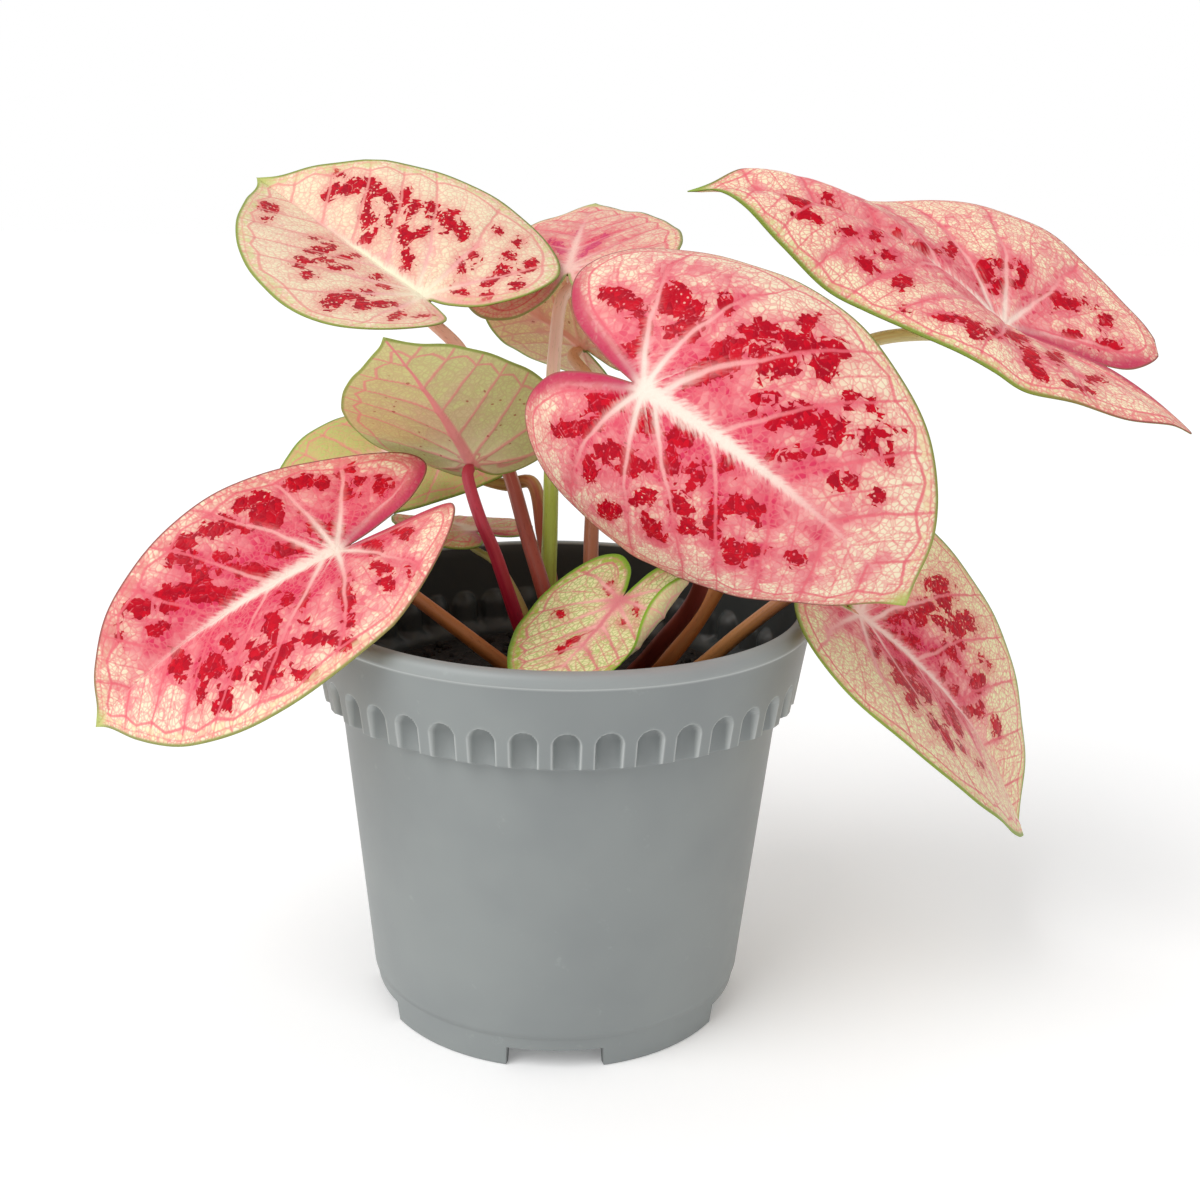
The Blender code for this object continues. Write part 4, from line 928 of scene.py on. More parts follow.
def soil_crumbs(material):
    """Loose crumbs on the bed: small rounded lumps, each a globe stretched and with its points jittered."""
    random = np.random.default_rng(SOIL_SEED)
    globe = crumb_globe()
    size = random.uniform(*CRUMB_SIZES, CRUMBS) * random.uniform(*CRUMB_FLATNESS, CRUMBS)
    reach = CRUMB_REACH * np.sqrt(random.uniform(0, 1, CRUMBS))
    around = random.uniform(0, 2 * math.pi, CRUMBS)
    height = SOIL_TOP + SOIL_MOUND * (1 - reach / MOUND_REACH) + CRUMB_RISE * size
    middle = np.stack([reach * np.cos(around), reach * np.sin(around), height], axis=1)
    stretch = random.uniform(*CRUMB_STRETCH, (CRUMBS, 1, 3))
    stretch = stretch * random.uniform(*CRUMB_JITTER, (CRUMBS, len(globe), 1))
    points = middle[:, None] + globe * stretch * size[:, None, None]
    ring = np.arange(CRUMB_COLUMNS)
    body = grid_faces(CRUMB_ROWS - 1, CRUMB_COLUMNS)[:, ::-1]
    low = (CRUMB_ROWS - 2) * CRUMB_COLUMNS
    caps = np.vstack([fan_faces(len(globe) - 2, ring, True), fan_faces(len(globe) - 1, ring + low, False)])
    starts = len(globe) * np.arange(CRUMBS)[:, None, None]
    faces = (body + starts).reshape(-1, 4).tolist() + (caps + starts).reshape(-1, 3).tolist()
    return new_piece("soil_crumbs", points, faces, material, "potting_soil", "soil")


def smooth_curve(points, count):
    """Evenly spaced points on a Catmull-Rom curve through the given ones."""
    points = np.asarray(points, dtype=float)
    ends = np.vstack([2 * points[0] - points[1], points, 2 * points[-1] - points[-2]])
    t = np.linspace(0, 1, CURVE_STEPS, endpoint=False)[:, None]
    pieces = []
    for p0, p1, p2, p3 in zip(ends, ends[1:], ends[2:], ends[3:]):
        pieces.append(0.5 * (2 * p1 + (p2 - p0) * t + (2 * p0 - 5 * p1 + 4 * p2 - p3) * t ** 2
                             + (3 * p1 - p0 - 3 * p2 + p3) * t ** 3))
    dense = np.vstack(pieces + [points[-1:]])
    length = np.concatenate([[0], np.cumsum(np.linalg.norm(np.diff(dense, axis=0), axis=1))])
    wanted = np.linspace(0, length[-1], count)
    return np.stack([np.interp(wanted, length, column) for column in dense.T], axis=1)


def leaf_axes(leaf):
    """Unit vectors along the midrib, to its right and out of its upper face, where the stalk joins."""
    heading, pitch, roll = (math.radians(leaf[key]) for key in ("heading", "pitch", "roll"))
    forward = np.array((math.cos(heading) * math.cos(pitch), math.sin(heading) * math.cos(pitch),
                        math.sin(pitch)))
    level = np.array((math.sin(heading), -math.cos(heading), 0))
    lifted = np.cross(level, forward)
    right = level * math.cos(roll) + lifted * math.sin(roll)
    up = lifted * math.cos(roll) - level * math.sin(roll)
    return forward, right, up


def flat_outline(leaf, columns):
    """The flat blade's edge as (sideways, forward), from the sinus up its right half and back."""
    half = np.array(OUTLINE)
    half[:, 0] *= leaf["width"]
    half[half[:, 1] < 0, 1] *= leaf["lobe"]
    right = smooth_curve(half, columns // 2 + 1)
    left = right * (-1, 1)
    right = right * (leaf["right"], 1)
    return np.vstack([right, left[::-1][1:-1]]) * leaf["length"]


def arc(angle, bend_per_metre, distance):
    """Across and up along a line that starts at an angle and bends evenly, by SLIGHT_BEND if straight."""
    bend = np.where(np.abs(bend_per_metre) < SLIGHT_BEND, SLIGHT_BEND, bend_per_metre)
    across = (np.sin(angle + bend * distance) - np.sin(angle)) / bend
    rise = (np.cos(angle) - np.cos(angle + bend * distance)) / bend
    return across, rise


def rolled(leaf, reach):
    """Across and up along a half that lies flat at its fold's angle and then rolls into a tube."""
    flat = leaf["flat_left"] * leaf["length"]
    angle = math.radians(leaf["fold_left"])
    past, lift = arc(angle, 1 / leaf["roll_radius"], np.clip(reach - flat, 0, None))
    return np.minimum(reach, flat) * math.cos(angle) + past, np.minimum(reach, flat) * math.sin(angle) + lift


def shaped(leaf, sideways, forward):
    """Carries flat points to the leaf's shape: each half folds and curls, the midrib droops and twists."""
    length = leaf["length"]
    is_right = sideways >= 0
    reach = np.abs(sideways)
    share = forward / length
    fold = np.radians(np.where(is_right, leaf["fold_right"] + leaf["open_right"] * share,
                               leaf["fold_left"] + leaf["open_left"] * share))
    curl = np.radians(np.where(is_right, leaf["curl_right"], leaf["curl_left"])) / (CURL_REACH * length)
    across, rise = arc(fold, curl, reach)
    if "roll_radius" in leaf:
        left_across, left_rise = rolled(leaf, reach)
        across, rise = np.where(is_right, across, left_across), np.where(is_right, rise, left_rise)
    across = across * np.sign(sideways)
    turn = math.radians(leaf["twist"]) * share
    aside = across * np.cos(turn) - rise * np.sin(turn)
    above = across * np.sin(turn) + rise * np.cos(turn)
    droop = np.where(forward >= 0, math.radians(leaf["droop"]) / length,
                     math.radians(leaf["back"]) / (LOBE_REACH * length))
    ahead, sag = arc(0.0, droop, forward)
    tilt = droop * forward
    out = np.stack([ahead + np.sin(tilt) * above, aside, np.cos(tilt) * above - sag], axis=-1)
    return out @ np.stack(leaf_axes(leaf)) + np.array(leaf["junction"])


def folded_blade(shares, columns):
    """The folded blade's middle surface: straight rays from its junction to its margin, arched between."""
    far = smooth_curve([RIGHT_TOP_SINUS] + RIGHT_TOP_FAR, columns // 2 + 1)
    near = smooth_curve([RIGHT_TOP_SINUS] + RIGHT_TOP_NEAR, columns // 2 + 1)
    edge = np.vstack([far, near[::-1][1:-1]])
    near_midrib = 0.5 - 0.5 * np.cos(2 * math.pi * np.arange(columns) / columns)
    centre = np.array(RIGHT_TOP_JUNCTION)
    rings = centre + shares[:, None, None] * (edge - centre)
    rings[:, :, 2] += np.outer(4 * shares * (1 - shares), RIGHT_TOP_RISE * near_midrib)
    return rings


def edge_distance(places, outline):
    """How far inside the flat outline each point lies."""
    closest = np.full(len(places), OUT_OF_REACH)
    for start in range(0, len(outline), OUTLINE_STEP):
        apart = places[:, None] - outline[None, start:start + OUTLINE_STEP]
        closest = np.minimum(closest, np.sqrt((apart ** 2).sum(axis=-1)).min(axis=1))
    return closest


def vein_marks(places, length):
    """How each flat point lies among the side veins: its count along them, and the room from one to the
    next in millimetres. Ahead, they leave the midrib at a slant and sweep forward. Behind, they fan out
    from the stalk."""
    aside, ahead = np.abs(places[:, 0]), places[:, 1]
    ahead = ahead - VEIN_SWEEP * aside ** 2 / length
    angle = np.degrees(np.arctan2(aside, ahead))
    lean = math.radians(VEIN_LEAN)
    start = ahead - aside / math.tan(lean)
    slant_count = (start / length - VEIN_FIRST) / VEIN_PITCH
    slant_room = VEIN_PITCH * length * math.sin(lean) + 0 * start
    fan_count = -VEIN_FIRST / VEIN_PITCH - (angle - VEIN_LEAN) / VEIN_FAN
    fan_room = np.hypot(aside, ahead) * math.radians(VEIN_FAN)
    slanting = angle < VEIN_LEAN
    count = np.where(slanting, slant_count, fan_count)
    room = np.where(slanting, slant_room, fan_room)
    return count, room


def patch_depth(places, length, patches):
    """How deep each flat point lies inside the nearest crimson patch, in millimetres, negative outside."""
    depth = np.full(len(places), PATCH_FLOOR)
    for aside, ahead, half_length, half_width, turn in patches:
        across = places - np.array((aside, ahead)) * length
        turned = math.radians(turn)
        u = (across[:, 0] * math.cos(turned) + across[:, 1] * math.sin(turned)) / (half_length * length)
        v = (across[:, 1] * math.cos(turned) - across[:, 0] * math.sin(turned)) / (half_width * length)
        inside = (1 - np.hypot(u, v)) * min(half_length, half_width) * length * MILLIMETRES
        depth = np.maximum(depth, inside)
    return depth


def surface_normals(rings):
    """Unit normals of a polar grid's upper face, from its neighbours out along the rays and round."""
    outward = np.gradient(rings, axis=0)
    around = np.roll(rings, -1, axis=1) - np.roll(rings, 1, axis=1)
    normal = np.cross(outward, around)
    return normal / np.maximum(np.linalg.norm(normal, axis=-1, keepdims=True), TINY)


def blade_middle(name, shares, edge):
    """The blade's middle surface, as rings of shares of the way to its edge, and its hub."""
    if name == "right_top":
        return folded_blade(shares, len(edge)), np.array(RIGHT_TOP_JUNCTION)
    flat = shares[:, None, None] * edge
    return shaped(LEAVES[name], flat[..., 0], flat[..., 1]), np.array(LEAVES[name]["junction"])


def margin_ripple(share, turn, length):
    """Low waves round the margin: two sines of the turn, none at the sinus, dying out inwards."""
    waves = sum(height * np.sin(turn * count + length * phase) for count, phase, height in RIPPLES)
    return waves * (1 - np.cos(turn)) / 2 * RIPPLE_HEIGHT * share ** RIPPLE_REACH


def under_ribs(places, length, away, fade):
    """How far the veins stand out below: a midrib that thins to the tip, and slighter side veins, each a
    bell curve across."""
    slim = np.clip(1 - places[:, 1] / length, MIDRIB_SLIMMEST, 1)
    width = MIDRIB_WIDTH * slim + MIDRIB_LEAST
    midrib = np.where(places[:, 1] > MIDRIB_START * length, np.exp(-(places[:, 0] / width) ** 2), 0)
    return MIDRIB_HEIGHT * midrib * slim + SIDE_RIB_HEIGHT * np.exp(-(away / SIDE_RIB_WIDTH) ** 2) * fade


def blade_relief(places, share, turn, inside, away, length):
    """How far each face stands off the middle surface: by half the thickness, quilted between the side
    veins and rippled at the margin, and ribbed below."""
    fade = np.clip(share * HUB_FADE, 0, 1) * np.clip(inside / MARGIN_FADE, 0, 1)
    quilt = QUILT_HEIGHT * (1 - np.exp(-(away / QUILT_WIDTH) ** 2) - QUILT_MIDDLE) * fade
    lift = quilt + margin_ripple(share, turn, length)
    thin = np.clip(inside / THINNING_WIDTH, 0, 1)
    half = 0.5 * (MARGIN_THICKNESS + (BLADE_THICKNESS - MARGIN_THICKNESS) * thin)
    return lift + half, lift - (half + under_ribs(places, length, away, fade))


def blade_points(middle, hub, above, below):
    """Points of the upper face, the rim, the lower face and the two hubs, set off from the middle surface."""
    normal = surface_normals(middle)
    hub_normal = normal[0].mean(axis=0)
    hub_normal /= np.linalg.norm(hub_normal)
    upper = middle + normal * above.reshape(*middle.shape[:2], 1)
    lower = middle + normal * below.reshape(*middle.shape[:2], 1)
    around = np.vstack([upper, 0.5 * (upper[-1:] + lower[-1:]), lower[::-1]])
    return np.vstack([around.reshape(-1, 3), hub + hub_normal * 0.5 * BLADE_THICKNESS,
                      hub - hub_normal * (0.5 * BLADE_THICKNESS + MIDRIB_HEIGHT)])


def leaf_blade(name, material):
    """A blade: rays from the stalk's top to the flat outline, shaped, with an upper and a lower face."""
    leaf = RIGHT_TOP if name == "right_top" else LEAVES[name]
    length = leaf["length"]
    rows, columns = SMALL_BLADE_GRID if name in SMALL_BLADES else BLADE_GRID
    shares = np.linspace(0, 1, rows + 1)[1:]
    edge = flat_outline(leaf, columns)
    places = (shares[:, None, None] * edge).reshape(-1, 2)
    share = np.repeat(shares, columns)
    turn = np.tile(2 * math.pi * np.arange(columns) / columns, rows)
    inside = edge_distance(places, edge)
    count, room = vein_marks(places, length)
    away = np.abs(count - np.round(count)) * room
    points = blade_points(*blade_middle(name, shares, edge),
                          *blade_relief(places, share, turn, inside, away, length))
    piece = new_piece("leaf_" + name, points, closed_faces(2 * rows + 1, columns), material,
                      "blade_" + name, "blade_" + name)
    depth = patch_depth(places, length, PATCHES.get(name, ()))
    add_leaf_attributes(piece, rows, columns, places * MILLIMETRES, share, count, room * MILLIMETRES, depth,
                        inside * MILLIMETRES)
    return piece


def both_faces(values, rows, columns, hub):
    """Values of the upper face repeated for the rim, the lower face and the two hubs."""
    grid = values.reshape(rows, columns)
    return np.concatenate([np.vstack([grid, grid[-1:], grid[::-1]]).ravel(), [hub, hub]])


def add_leaf_attributes(piece, rows, columns, places, share, count, room, depth, inside):
    """Places on the flat leaf in millimetres, how each lies among veins and patches, and which face it is."""
    count_of_face = rows * columns
    under = np.concatenate([np.zeros(count_of_face), np.full(columns, 0.5), np.ones(count_of_face), [0, 1]])

    def repeated(values, hub):
        """The values for both faces of this blade."""
        return both_faces(values, rows, columns, hub)

    add_attribute(piece, "leaf_place", np.stack(
        [repeated(places[:, 0], 0), repeated(places[:, 1], 0), repeated(share, 0)], axis=1))
    add_attribute(piece, "leaf_marks", np.stack(
        [repeated(count, 0), repeated(room, 0), repeated(depth, depth[0])], axis=1))
    add_attribute(piece, "leaf_edge", np.stack(
        [repeated(inside, inside[0]), under, 0 * under], axis=1))


def stalk_path(name):
    """From the stalk's foot in the soil, through its set points, to its blade."""
    if name == "right_top":
        points, junction = RIGHT_TOP_STALK, np.array(RIGHT_TOP_JUNCTION)
        forward, up = np.array(RIGHT_TOP_FORWARD), np.array(RIGHT_TOP_UP)
    else:
        points, junction = LEAVES[name]["stalk"], np.array(LEAVES[name]["junction"])
        forward, _, up = leaf_axes(LEAVES[name])
    behind, below = NECKS.get(name, STALK_NECK)
    x, y = points[0]
    root = (x, y, SOIL_TOP + STALK_ROOT)
    neck = tuple(junction - up * below - forward * behind)
    return smooth_curve([(x, y, STALK_FOOT), root] + points[1:] + [neck, tuple(junction - up * STALK_END)],
                        STALK_RINGS)


def stalk_radius(name, rise):
    """A stalk's radius at each share of its rise: an even taper, swollen at the soil and rounded off at
    the end."""
    foot, top = SLIM_STALKS.get(name, (STALK_FOOT_RADIUS, STALK_TOP_RADIUS))
    swell = STALK_SWELL * np.exp(-(rise / STALK_SWELL_REACH) ** 2) * (foot / STALK_FOOT_RADIUS)
    rounding = np.clip((1 - rise) / STALK_END_REACH, STALK_END_LEAST, 1) ** 0.5
    return (foot + (top - foot) * rise + swell) * rounding


def square_axes(path):
    """Two unit vectors at each point of a path, square to it and to each other, the first near level."""
    tangent = np.gradient(path, axis=0)
    tangent /= np.linalg.norm(tangent, axis=1, keepdims=True)
    lean = path[-1] - path[0]
    level = np.array((-lean[1], lean[0], 0)) + SLIGHT_LEAN
    level /= np.linalg.norm(level)
    side = level - tangent * (tangent @ level)[:, None]
    side /= np.linalg.norm(side, axis=1, keepdims=True)
    return side, np.cross(tangent, side)


def leaf_stalk(name, material):
    """A stalk: a nearly round section with low ribs, carried along its path square to it."""
    path = stalk_path(name)
    side, front = square_axes(path)
    rise = np.linspace(0, 1, STALK_RINGS)
    turn = 2 * math.pi * np.arange(STALK_SIDES) / STALK_SIDES
    ribs = 1 + sum(height * np.cos(turn * count + phase) for count, phase, height in STALK_RIBS)
    ring = side[:, None] * np.cos(turn)[None, :, None] + front[:, None] * np.sin(turn)[None, :, None]
    rows = path[:, None] + ring * (stalk_radius(name, rise)[:, None] * ribs)[..., None]
    points = np.vstack([rows.reshape(-1, 3), path[:1], path[-1:]])
    faces = closed_faces(STALK_RINGS, STALK_SIDES, False)
    piece = new_piece("stem_" + name, points, faces, material, "stalk_" + name, "stalk_" + name)
    along = np.append(np.repeat(rise, STALK_SIDES), (0, 1))
    cosine, sine = (np.append(np.tile(wave, STALK_RINGS), (0, 0)) for wave in (np.cos(turn), np.sin(turn)))
    add_attribute(piece, "stem_place", np.stack([along, cosine, sine], axis=1))
    return piece


class Recipe:
    """Short ways to lay out the nodes of one material."""

    def __init__(self, name):
        self.material = bpy.data.materials.new(name)
        self.material.use_nodes = True
        self.nodes = self.material.node_tree.nodes
        self.links = self.material.node_tree.links
        self.shader = self.nodes["Principled BSDF"]

    def feed(self, socket, source):
        """Gives an input its value, or a link where the value is another node's output."""
        if isinstance(source, bpy.types.NodeSocket):
            self.links.new(source, socket)
        else:
            socket.default_value = source

    def math(self, operation, *sources):
        """One step of arithmetic on values or outputs."""
        node = self.nodes.new("ShaderNodeMath")
        node.operation = operation
        for socket, source in zip(node.inputs, sources):
            self.feed(socket, source)
        return node.outputs[0]

    def total(self, *sources):
        """The sum of all."""
        out = sources[0]
        for source in sources[1:]:
            out = self.math("ADD", out, source)
        return out

    def times(self, *sources):
        """The product of all."""
        out = sources[0]
        for source in sources[1:]:
            out = self.math("MULTIPLY", out, source)
        return out

    def less(self, first, second):
        """The first less the second."""
        return self.math("SUBTRACT", first, second)

    def centred(self, noise):
        """A noise's value about its middle."""
        return self.less(noise, 0.5)

    def rise(self, value, start, end):
        """0 up to the start, 1 from the end, and eased between. Falls instead where the end is lower."""
        node = self.nodes.new("ShaderNodeMapRange")
        node.interpolation_type = "SMOOTHSTEP"
        falls = end < start
        self.feed(node.inputs["Value"], value)
        node.inputs["From Min"].default_value = min(start, end)
        node.inputs["From Max"].default_value = max(start, end)
        node.inputs["To Min"].default_value = 1.0 if falls else 0.0
        node.inputs["To Max"].default_value = 0.0 if falls else 1.0
        return node.outputs["Result"]

    def blend(self, share, first, second):
        """A colour between two, by the share of the second."""
        node = self.nodes.new("ShaderNodeMix")
        node.data_type = "RGBA"
        self.feed(node.inputs["Factor"], share)
        self.feed(node.inputs[6], first)
        self.feed(node.inputs[7], second)
        return node.outputs[2]

    def attribute(self, name):
        """A vector that the mesh holds at each point."""
        node = self.nodes.new("ShaderNodeAttribute")
        node.attribute_name = name
        return node.outputs["Vector"]

    def object_place(self):
        """The place on the object, in metres."""
        return self.nodes.new("ShaderNodeTexCoord").outputs["Object"]

    def parts(self, vector):
        """The three numbers of a vector."""
        node = self.nodes.new("ShaderNodeSeparateXYZ")
        self.feed(node.inputs[0], vector)
        return node.outputs

    def joined(self, x, y, z):
        """A vector of three numbers."""
        node = self.nodes.new("ShaderNodeCombineXYZ")
        for socket, source in zip(node.inputs, (x, y, z)):
            self.feed(socket, source)
        return node.outputs[0]

    def shifted(self, vector, push, amount):
        """A place moved by a noise colour, centred on no move, times an amount."""
        centred = self.nodes.new("ShaderNodeVectorMath")
        centred.operation = "SUBTRACT"
        self.feed(centred.inputs[0], push)
        centred.inputs[1].default_value = (0.5, 0.5, 0.5)
        node = self.nodes.new("ShaderNodeVectorMath")
        node.operation = "MULTIPLY_ADD"
        self.feed(node.inputs[0], centred.outputs[0])
        node.inputs[1].default_value = (amount, amount, 0)
        self.feed(node.inputs[2], vector)
        return node.outputs[0]

    def noise(self, place, scale, detail=3.0, roughness=0.5, colour=False):
        """A soft cloudy texture, as values or as colours."""
        node = self.nodes.new("ShaderNodeTexNoise")
        self.feed(node.inputs["Vector"], place)
        node.inputs["Scale"].default_value = scale
        node.inputs["Detail"].default_value = detail
        node.inputs["Roughness"].default_value = roughness
        return node.outputs["Color" if colour else "Fac"]

    def cells(self, place, size):
        """Random polygons: the distance to the nearest wall and each cell's own random numbers."""
        walls = self.nodes.new("ShaderNodeTexVoronoi")
        walls.feature = "DISTANCE_TO_EDGE"
        self.feed(walls.inputs["Vector"], place)
        walls.inputs["Scale"].default_value = 1 / size
        own = self.nodes.new("ShaderNodeTexVoronoi")
        self.feed(own.inputs["Vector"], place)
        own.inputs["Scale"].default_value = 1 / size
        away = self.math("MULTIPLY", walls.outputs["Distance"], size)
        return away, own.outputs["Color"], self.math("MULTIPLY", own.outputs["Distance"], size)

    def bump(self, height, strength, distance):
        """Turns the shading by a height, at a strength and a depth."""
        node = self.nodes.new("ShaderNodeBump")
        node.inputs["Strength"].default_value = strength
        node.inputs["Distance"].default_value = distance
        self.feed(node.inputs["Height"], height)
        self.links.new(node.outputs[0], self.shader.inputs["Normal"])

    def finish(self, colour, roughness):
        """Sets the colour and the roughness, and gives the material."""
        self.feed(self.shader.inputs["Base Color"], colour)
        self.feed(self.shader.inputs["Roughness"], roughness)
        return self.material


class LeafRecipe(Recipe):
    """The nodes of one leaf's material, and the measures that its markings share. Lengths are in
    millimetres on the flat blade. A marking is a share from 0 to 1."""

    def __init__(self, name, look):
        super().__init__("leaf_" + name)
        self.look = look
        self.length = (RIGHT_TOP if name == "right_top" else LEAVES[name])["length"] * MILLIMETRES
        self.aside, self.ahead, self.share = self.parts(self.attribute("leaf_place"))
        self.count, self.room, self.depth = self.parts(self.attribute("leaf_marks"))
        self.inside, self.under, _ = self.parts(self.attribute("leaf_edge"))
        self.lean = self.math("ABSOLUTE", self.aside)
        self.reach = self.far(self.aside, self.ahead)
        self.set_textures()
        self.set_veins()
        self.set_margin()
        self.set_pinkness()

    def far(self, aside, ahead):
        """The distance that two steps at right angles make."""
        return self.math("SQRT", self.total(self.times(aside, aside), self.times(ahead, ahead)))

    def part_way(self, value, start, end):
        """A rise between two shares of the blade's length."""
        return self.rise(value, start * self.length, end * self.length)

    def from_whole(self, count):
        """How far a count is from the nearest whole number."""
        return self.math("ABSOLUTE", self.less(count, self.math("ROUND", count)))

    def near(self, value, middle, line):
        """A line where the value passes the middle."""
        return self.rise(self.math("ABSOLUTE", self.less(value, middle)), *line)

    def set_textures(self):
        """Clouds, fine noise and two nets of random polygons, on the flat blade."""
        self.flat = self.joined(self.aside, self.ahead, self.look["start"])
        self.cloud = self.centred(self.noise(self.flat, CLOUD_SCALE))
        self.warped = self.shifted(self.flat, self.noise(self.flat, *WARP_NOISE, colour=True), WARP)
        self.fine = self.noise(self.warped, FINE_SCALE)
        self.wall, own, _ = self.cells(self.warped, MESH_SIZE)
        self.small_wall, small_own, self.small_middle = self.cells(self.warped, SMALL_MESH_SIZE)
        self.mesh_share = self.parts(own)[0]
        self.small_share, self.small_other, self.small_third = self.parts(small_own)

    def set_veins(self):
        """Side veins that waver with the clouds, fainter ones halfway between them, and the nets' walls."""
        self.bent = self.total(self.count, self.times(self.cloud, VEIN_WAVER))
        self.to_vein = self.times(self.from_whole(self.bent), self.room)
        to_minor = self.times(self.from_whole(self.total(self.bent, 0.5)), self.room)
        thickness = self.total(VEIN_THICKNESS, self.times(self.share, -VEIN_THINNING))
        self.vein = self.rise(self.math("DIVIDE", self.to_vein, thickness), *VEIN_LINE)
        self.minor = self.times(self.rise(to_minor, *MINOR_LINE), self.rise(self.share, *MINOR_RISE))
        self.net = self.rise(self.wall, *NET_LINE)
        self.small_net = self.rise(self.small_wall, *SMALL_NET_LINE)
        slim = self.part_way(self.ahead, *RIB_SLIMMING)
        self.rib_width = self.total(self.times(slim, self.look["rib"]), RIB_LEAST)

    def set_margin(self):
        """The wavering distance from the edge, the collecting vein that loops along it, and which half of
        the margin is green."""
        self.band = self.total(self.inside, self.times(self.cloud, MARGIN_WAVER))
        loop = self.total(self.times(self.from_whole(self.bent), LOOP_DEPTH), self.band)
        self.collecting = self.near(loop, COLLECTING_AT, COLLECTING_LINE)
        self.off_hub = self.rise(self.reach, *HUB_CLEARING)
        self.greenness = 1.0
        if self.look["greener_left"]:
            slant = self.less(self.times(self.ahead, GREEN_SLANT), self.aside)
            self.greenness = self.part_way(slant, *GREEN_RISE)

    def set_pinkness(self):
        """More by the veins, at the heart and inside the margin, uneven by clouds and meshes, and less on
        the greener half."""
        look = self.look
        border = self.less(self.rise(self.to_vein, *VEIN_BORDER), BORDER_MIDDLE)
        heart = self.times(self.part_way(self.lean, *HEART_WIDTH), self.part_way(self.ahead, *HEART_LENGTH))
        self.pinkness = self.total(
            look["pinkness"], self.times(self.cloud, look["clouds"]), self.times(border, look["border"]),
            self.times(self.centred(self.mesh_share), look["meshes"]),
            self.times(self.centred(self.small_share), look["small_meshes"]),
            self.times(self.rise(self.inside, *CENTRE_RISE), look["centre"]),
            self.times(heart, look["heart"]),
            self.times(self.greenness, -look["half_cream"]))

    def ground(self):
        """Cream to pink to rose, under its nets of veins."""
        look = self.look
        out = self.blend(self.rise(self.pinkness, *PINK_RISE), look["cream"], look["pink"])
        out = self.blend(self.rise(self.pinkness, *ROSE_RISE), out, look["rose"])
        out = self.blend(self.times(self.small_net, look["net"]), out, look["net_colour"])
        out = self.blend(self.times(self.net, look["net"], NET_SHARE), out, look["vein_colour"])
        return self.blend(self.times(self.minor, look["net"]), out, look["vein_colour"])

    def patched(self, ground):
        """Crimson patches over the ground, in a rosy halo. Small polygons and blocks make their edges
        angular, pale cracks cut them, and pale dots stand in them."""
        look = self.look
        out = self.blend(self.times(self.rise(self.depth, *PATCH_HALO), look["halo"]), ground, look["rose"])
        block = self.parts(self.cells(self.warped, BLOCK_SIZE)[1])[0]
        jagged = self.total(self.depth, PATCH_SPREAD, self.times(self.centred(self.small_other), JAG_BY_MESH),
                            self.times(self.centred(block), JAG_BY_BLOCK),
                            self.times(self.centred(self.fine), JAG_BY_NOISE))
        crack = self.times(self.rise(self.wall, *CRACK_LINE), self.rise(self.fine, *CRACK_CHOICE),
                           look["crack"])
        dot = self.times(self.rise(self.small_middle, *DOT_LINE), self.rise(self.small_third, *DOT_CHOICE))
        self.patch = self.times(self.rise(jagged, *PATCH_EDGE), self.less(1.0, crack), self.less(1.0, dot))
        crimson = self.blend(self.small_share, look["crimson"], look["deep_crimson"])
        return self.blend(self.patch, out, crimson)

    def pale_veined(self, out):
        """The feathered midrib, the star of veins round the stalk and the side veins, palest at the hub."""
        look = self.look
        streak = self.noise(self.joined(self.times(self.lean, 0.5), self.less(self.ahead, self.lean),
                                        look["start"]), STREAK_SCALE)
        feather = self.total(1.0, self.times(self.centred(streak), FEATHERING))
        lean = self.math("DIVIDE", self.lean, feather)
        rib = self.times(self.rise(self.math("DIVIDE", lean, self.rib_width), *RIB_LINE),
                         self.part_way(self.ahead, *RIB_START),
                         self.less(1.0, self.part_way(self.ahead, *RIB_FADE)))
        glow = self.times(self.rise(lean, *GLOW_WIDTH), self.part_way(self.ahead, *GLOW_FADE),
                          self.part_way(self.ahead, *GLOW_START))
        star = self.times(self.part_way(self.reach, *STAR_REACH),
                          self.rise(self.math("DIVIDE", self.to_vein, feather), *STAR_LINE))
        side_tone = self.blend(self.part_way(self.reach, *SIDE_FLARE), look["flare"], look["rib_far"])
        side_tone = self.blend(self.part_way(self.reach, *SIDE_FADE), side_tone, look["vein_colour"])
        star_tone = self.blend(self.part_way(self.reach, *STAR_FLARE), look["flare"], look["rib_far"])
        rib_tone = self.blend(self.part_way(self.ahead, *RIB_FLARE), look["flare"], look["rib_far"])
        out = self.blend(self.times(self.vein, look["side_veins"]), out, side_tone)
        out = self.blend(self.times(star, look["star"]), out, star_tone)
        out = self.blend(self.times(glow, look["glow"]), out, look["rib_far"])
        out = self.blend(self.times(self.rise(self.reach, *CORE), look["core"]), out, look["flare"])
        return self.blend(rib, out, rib_tone)

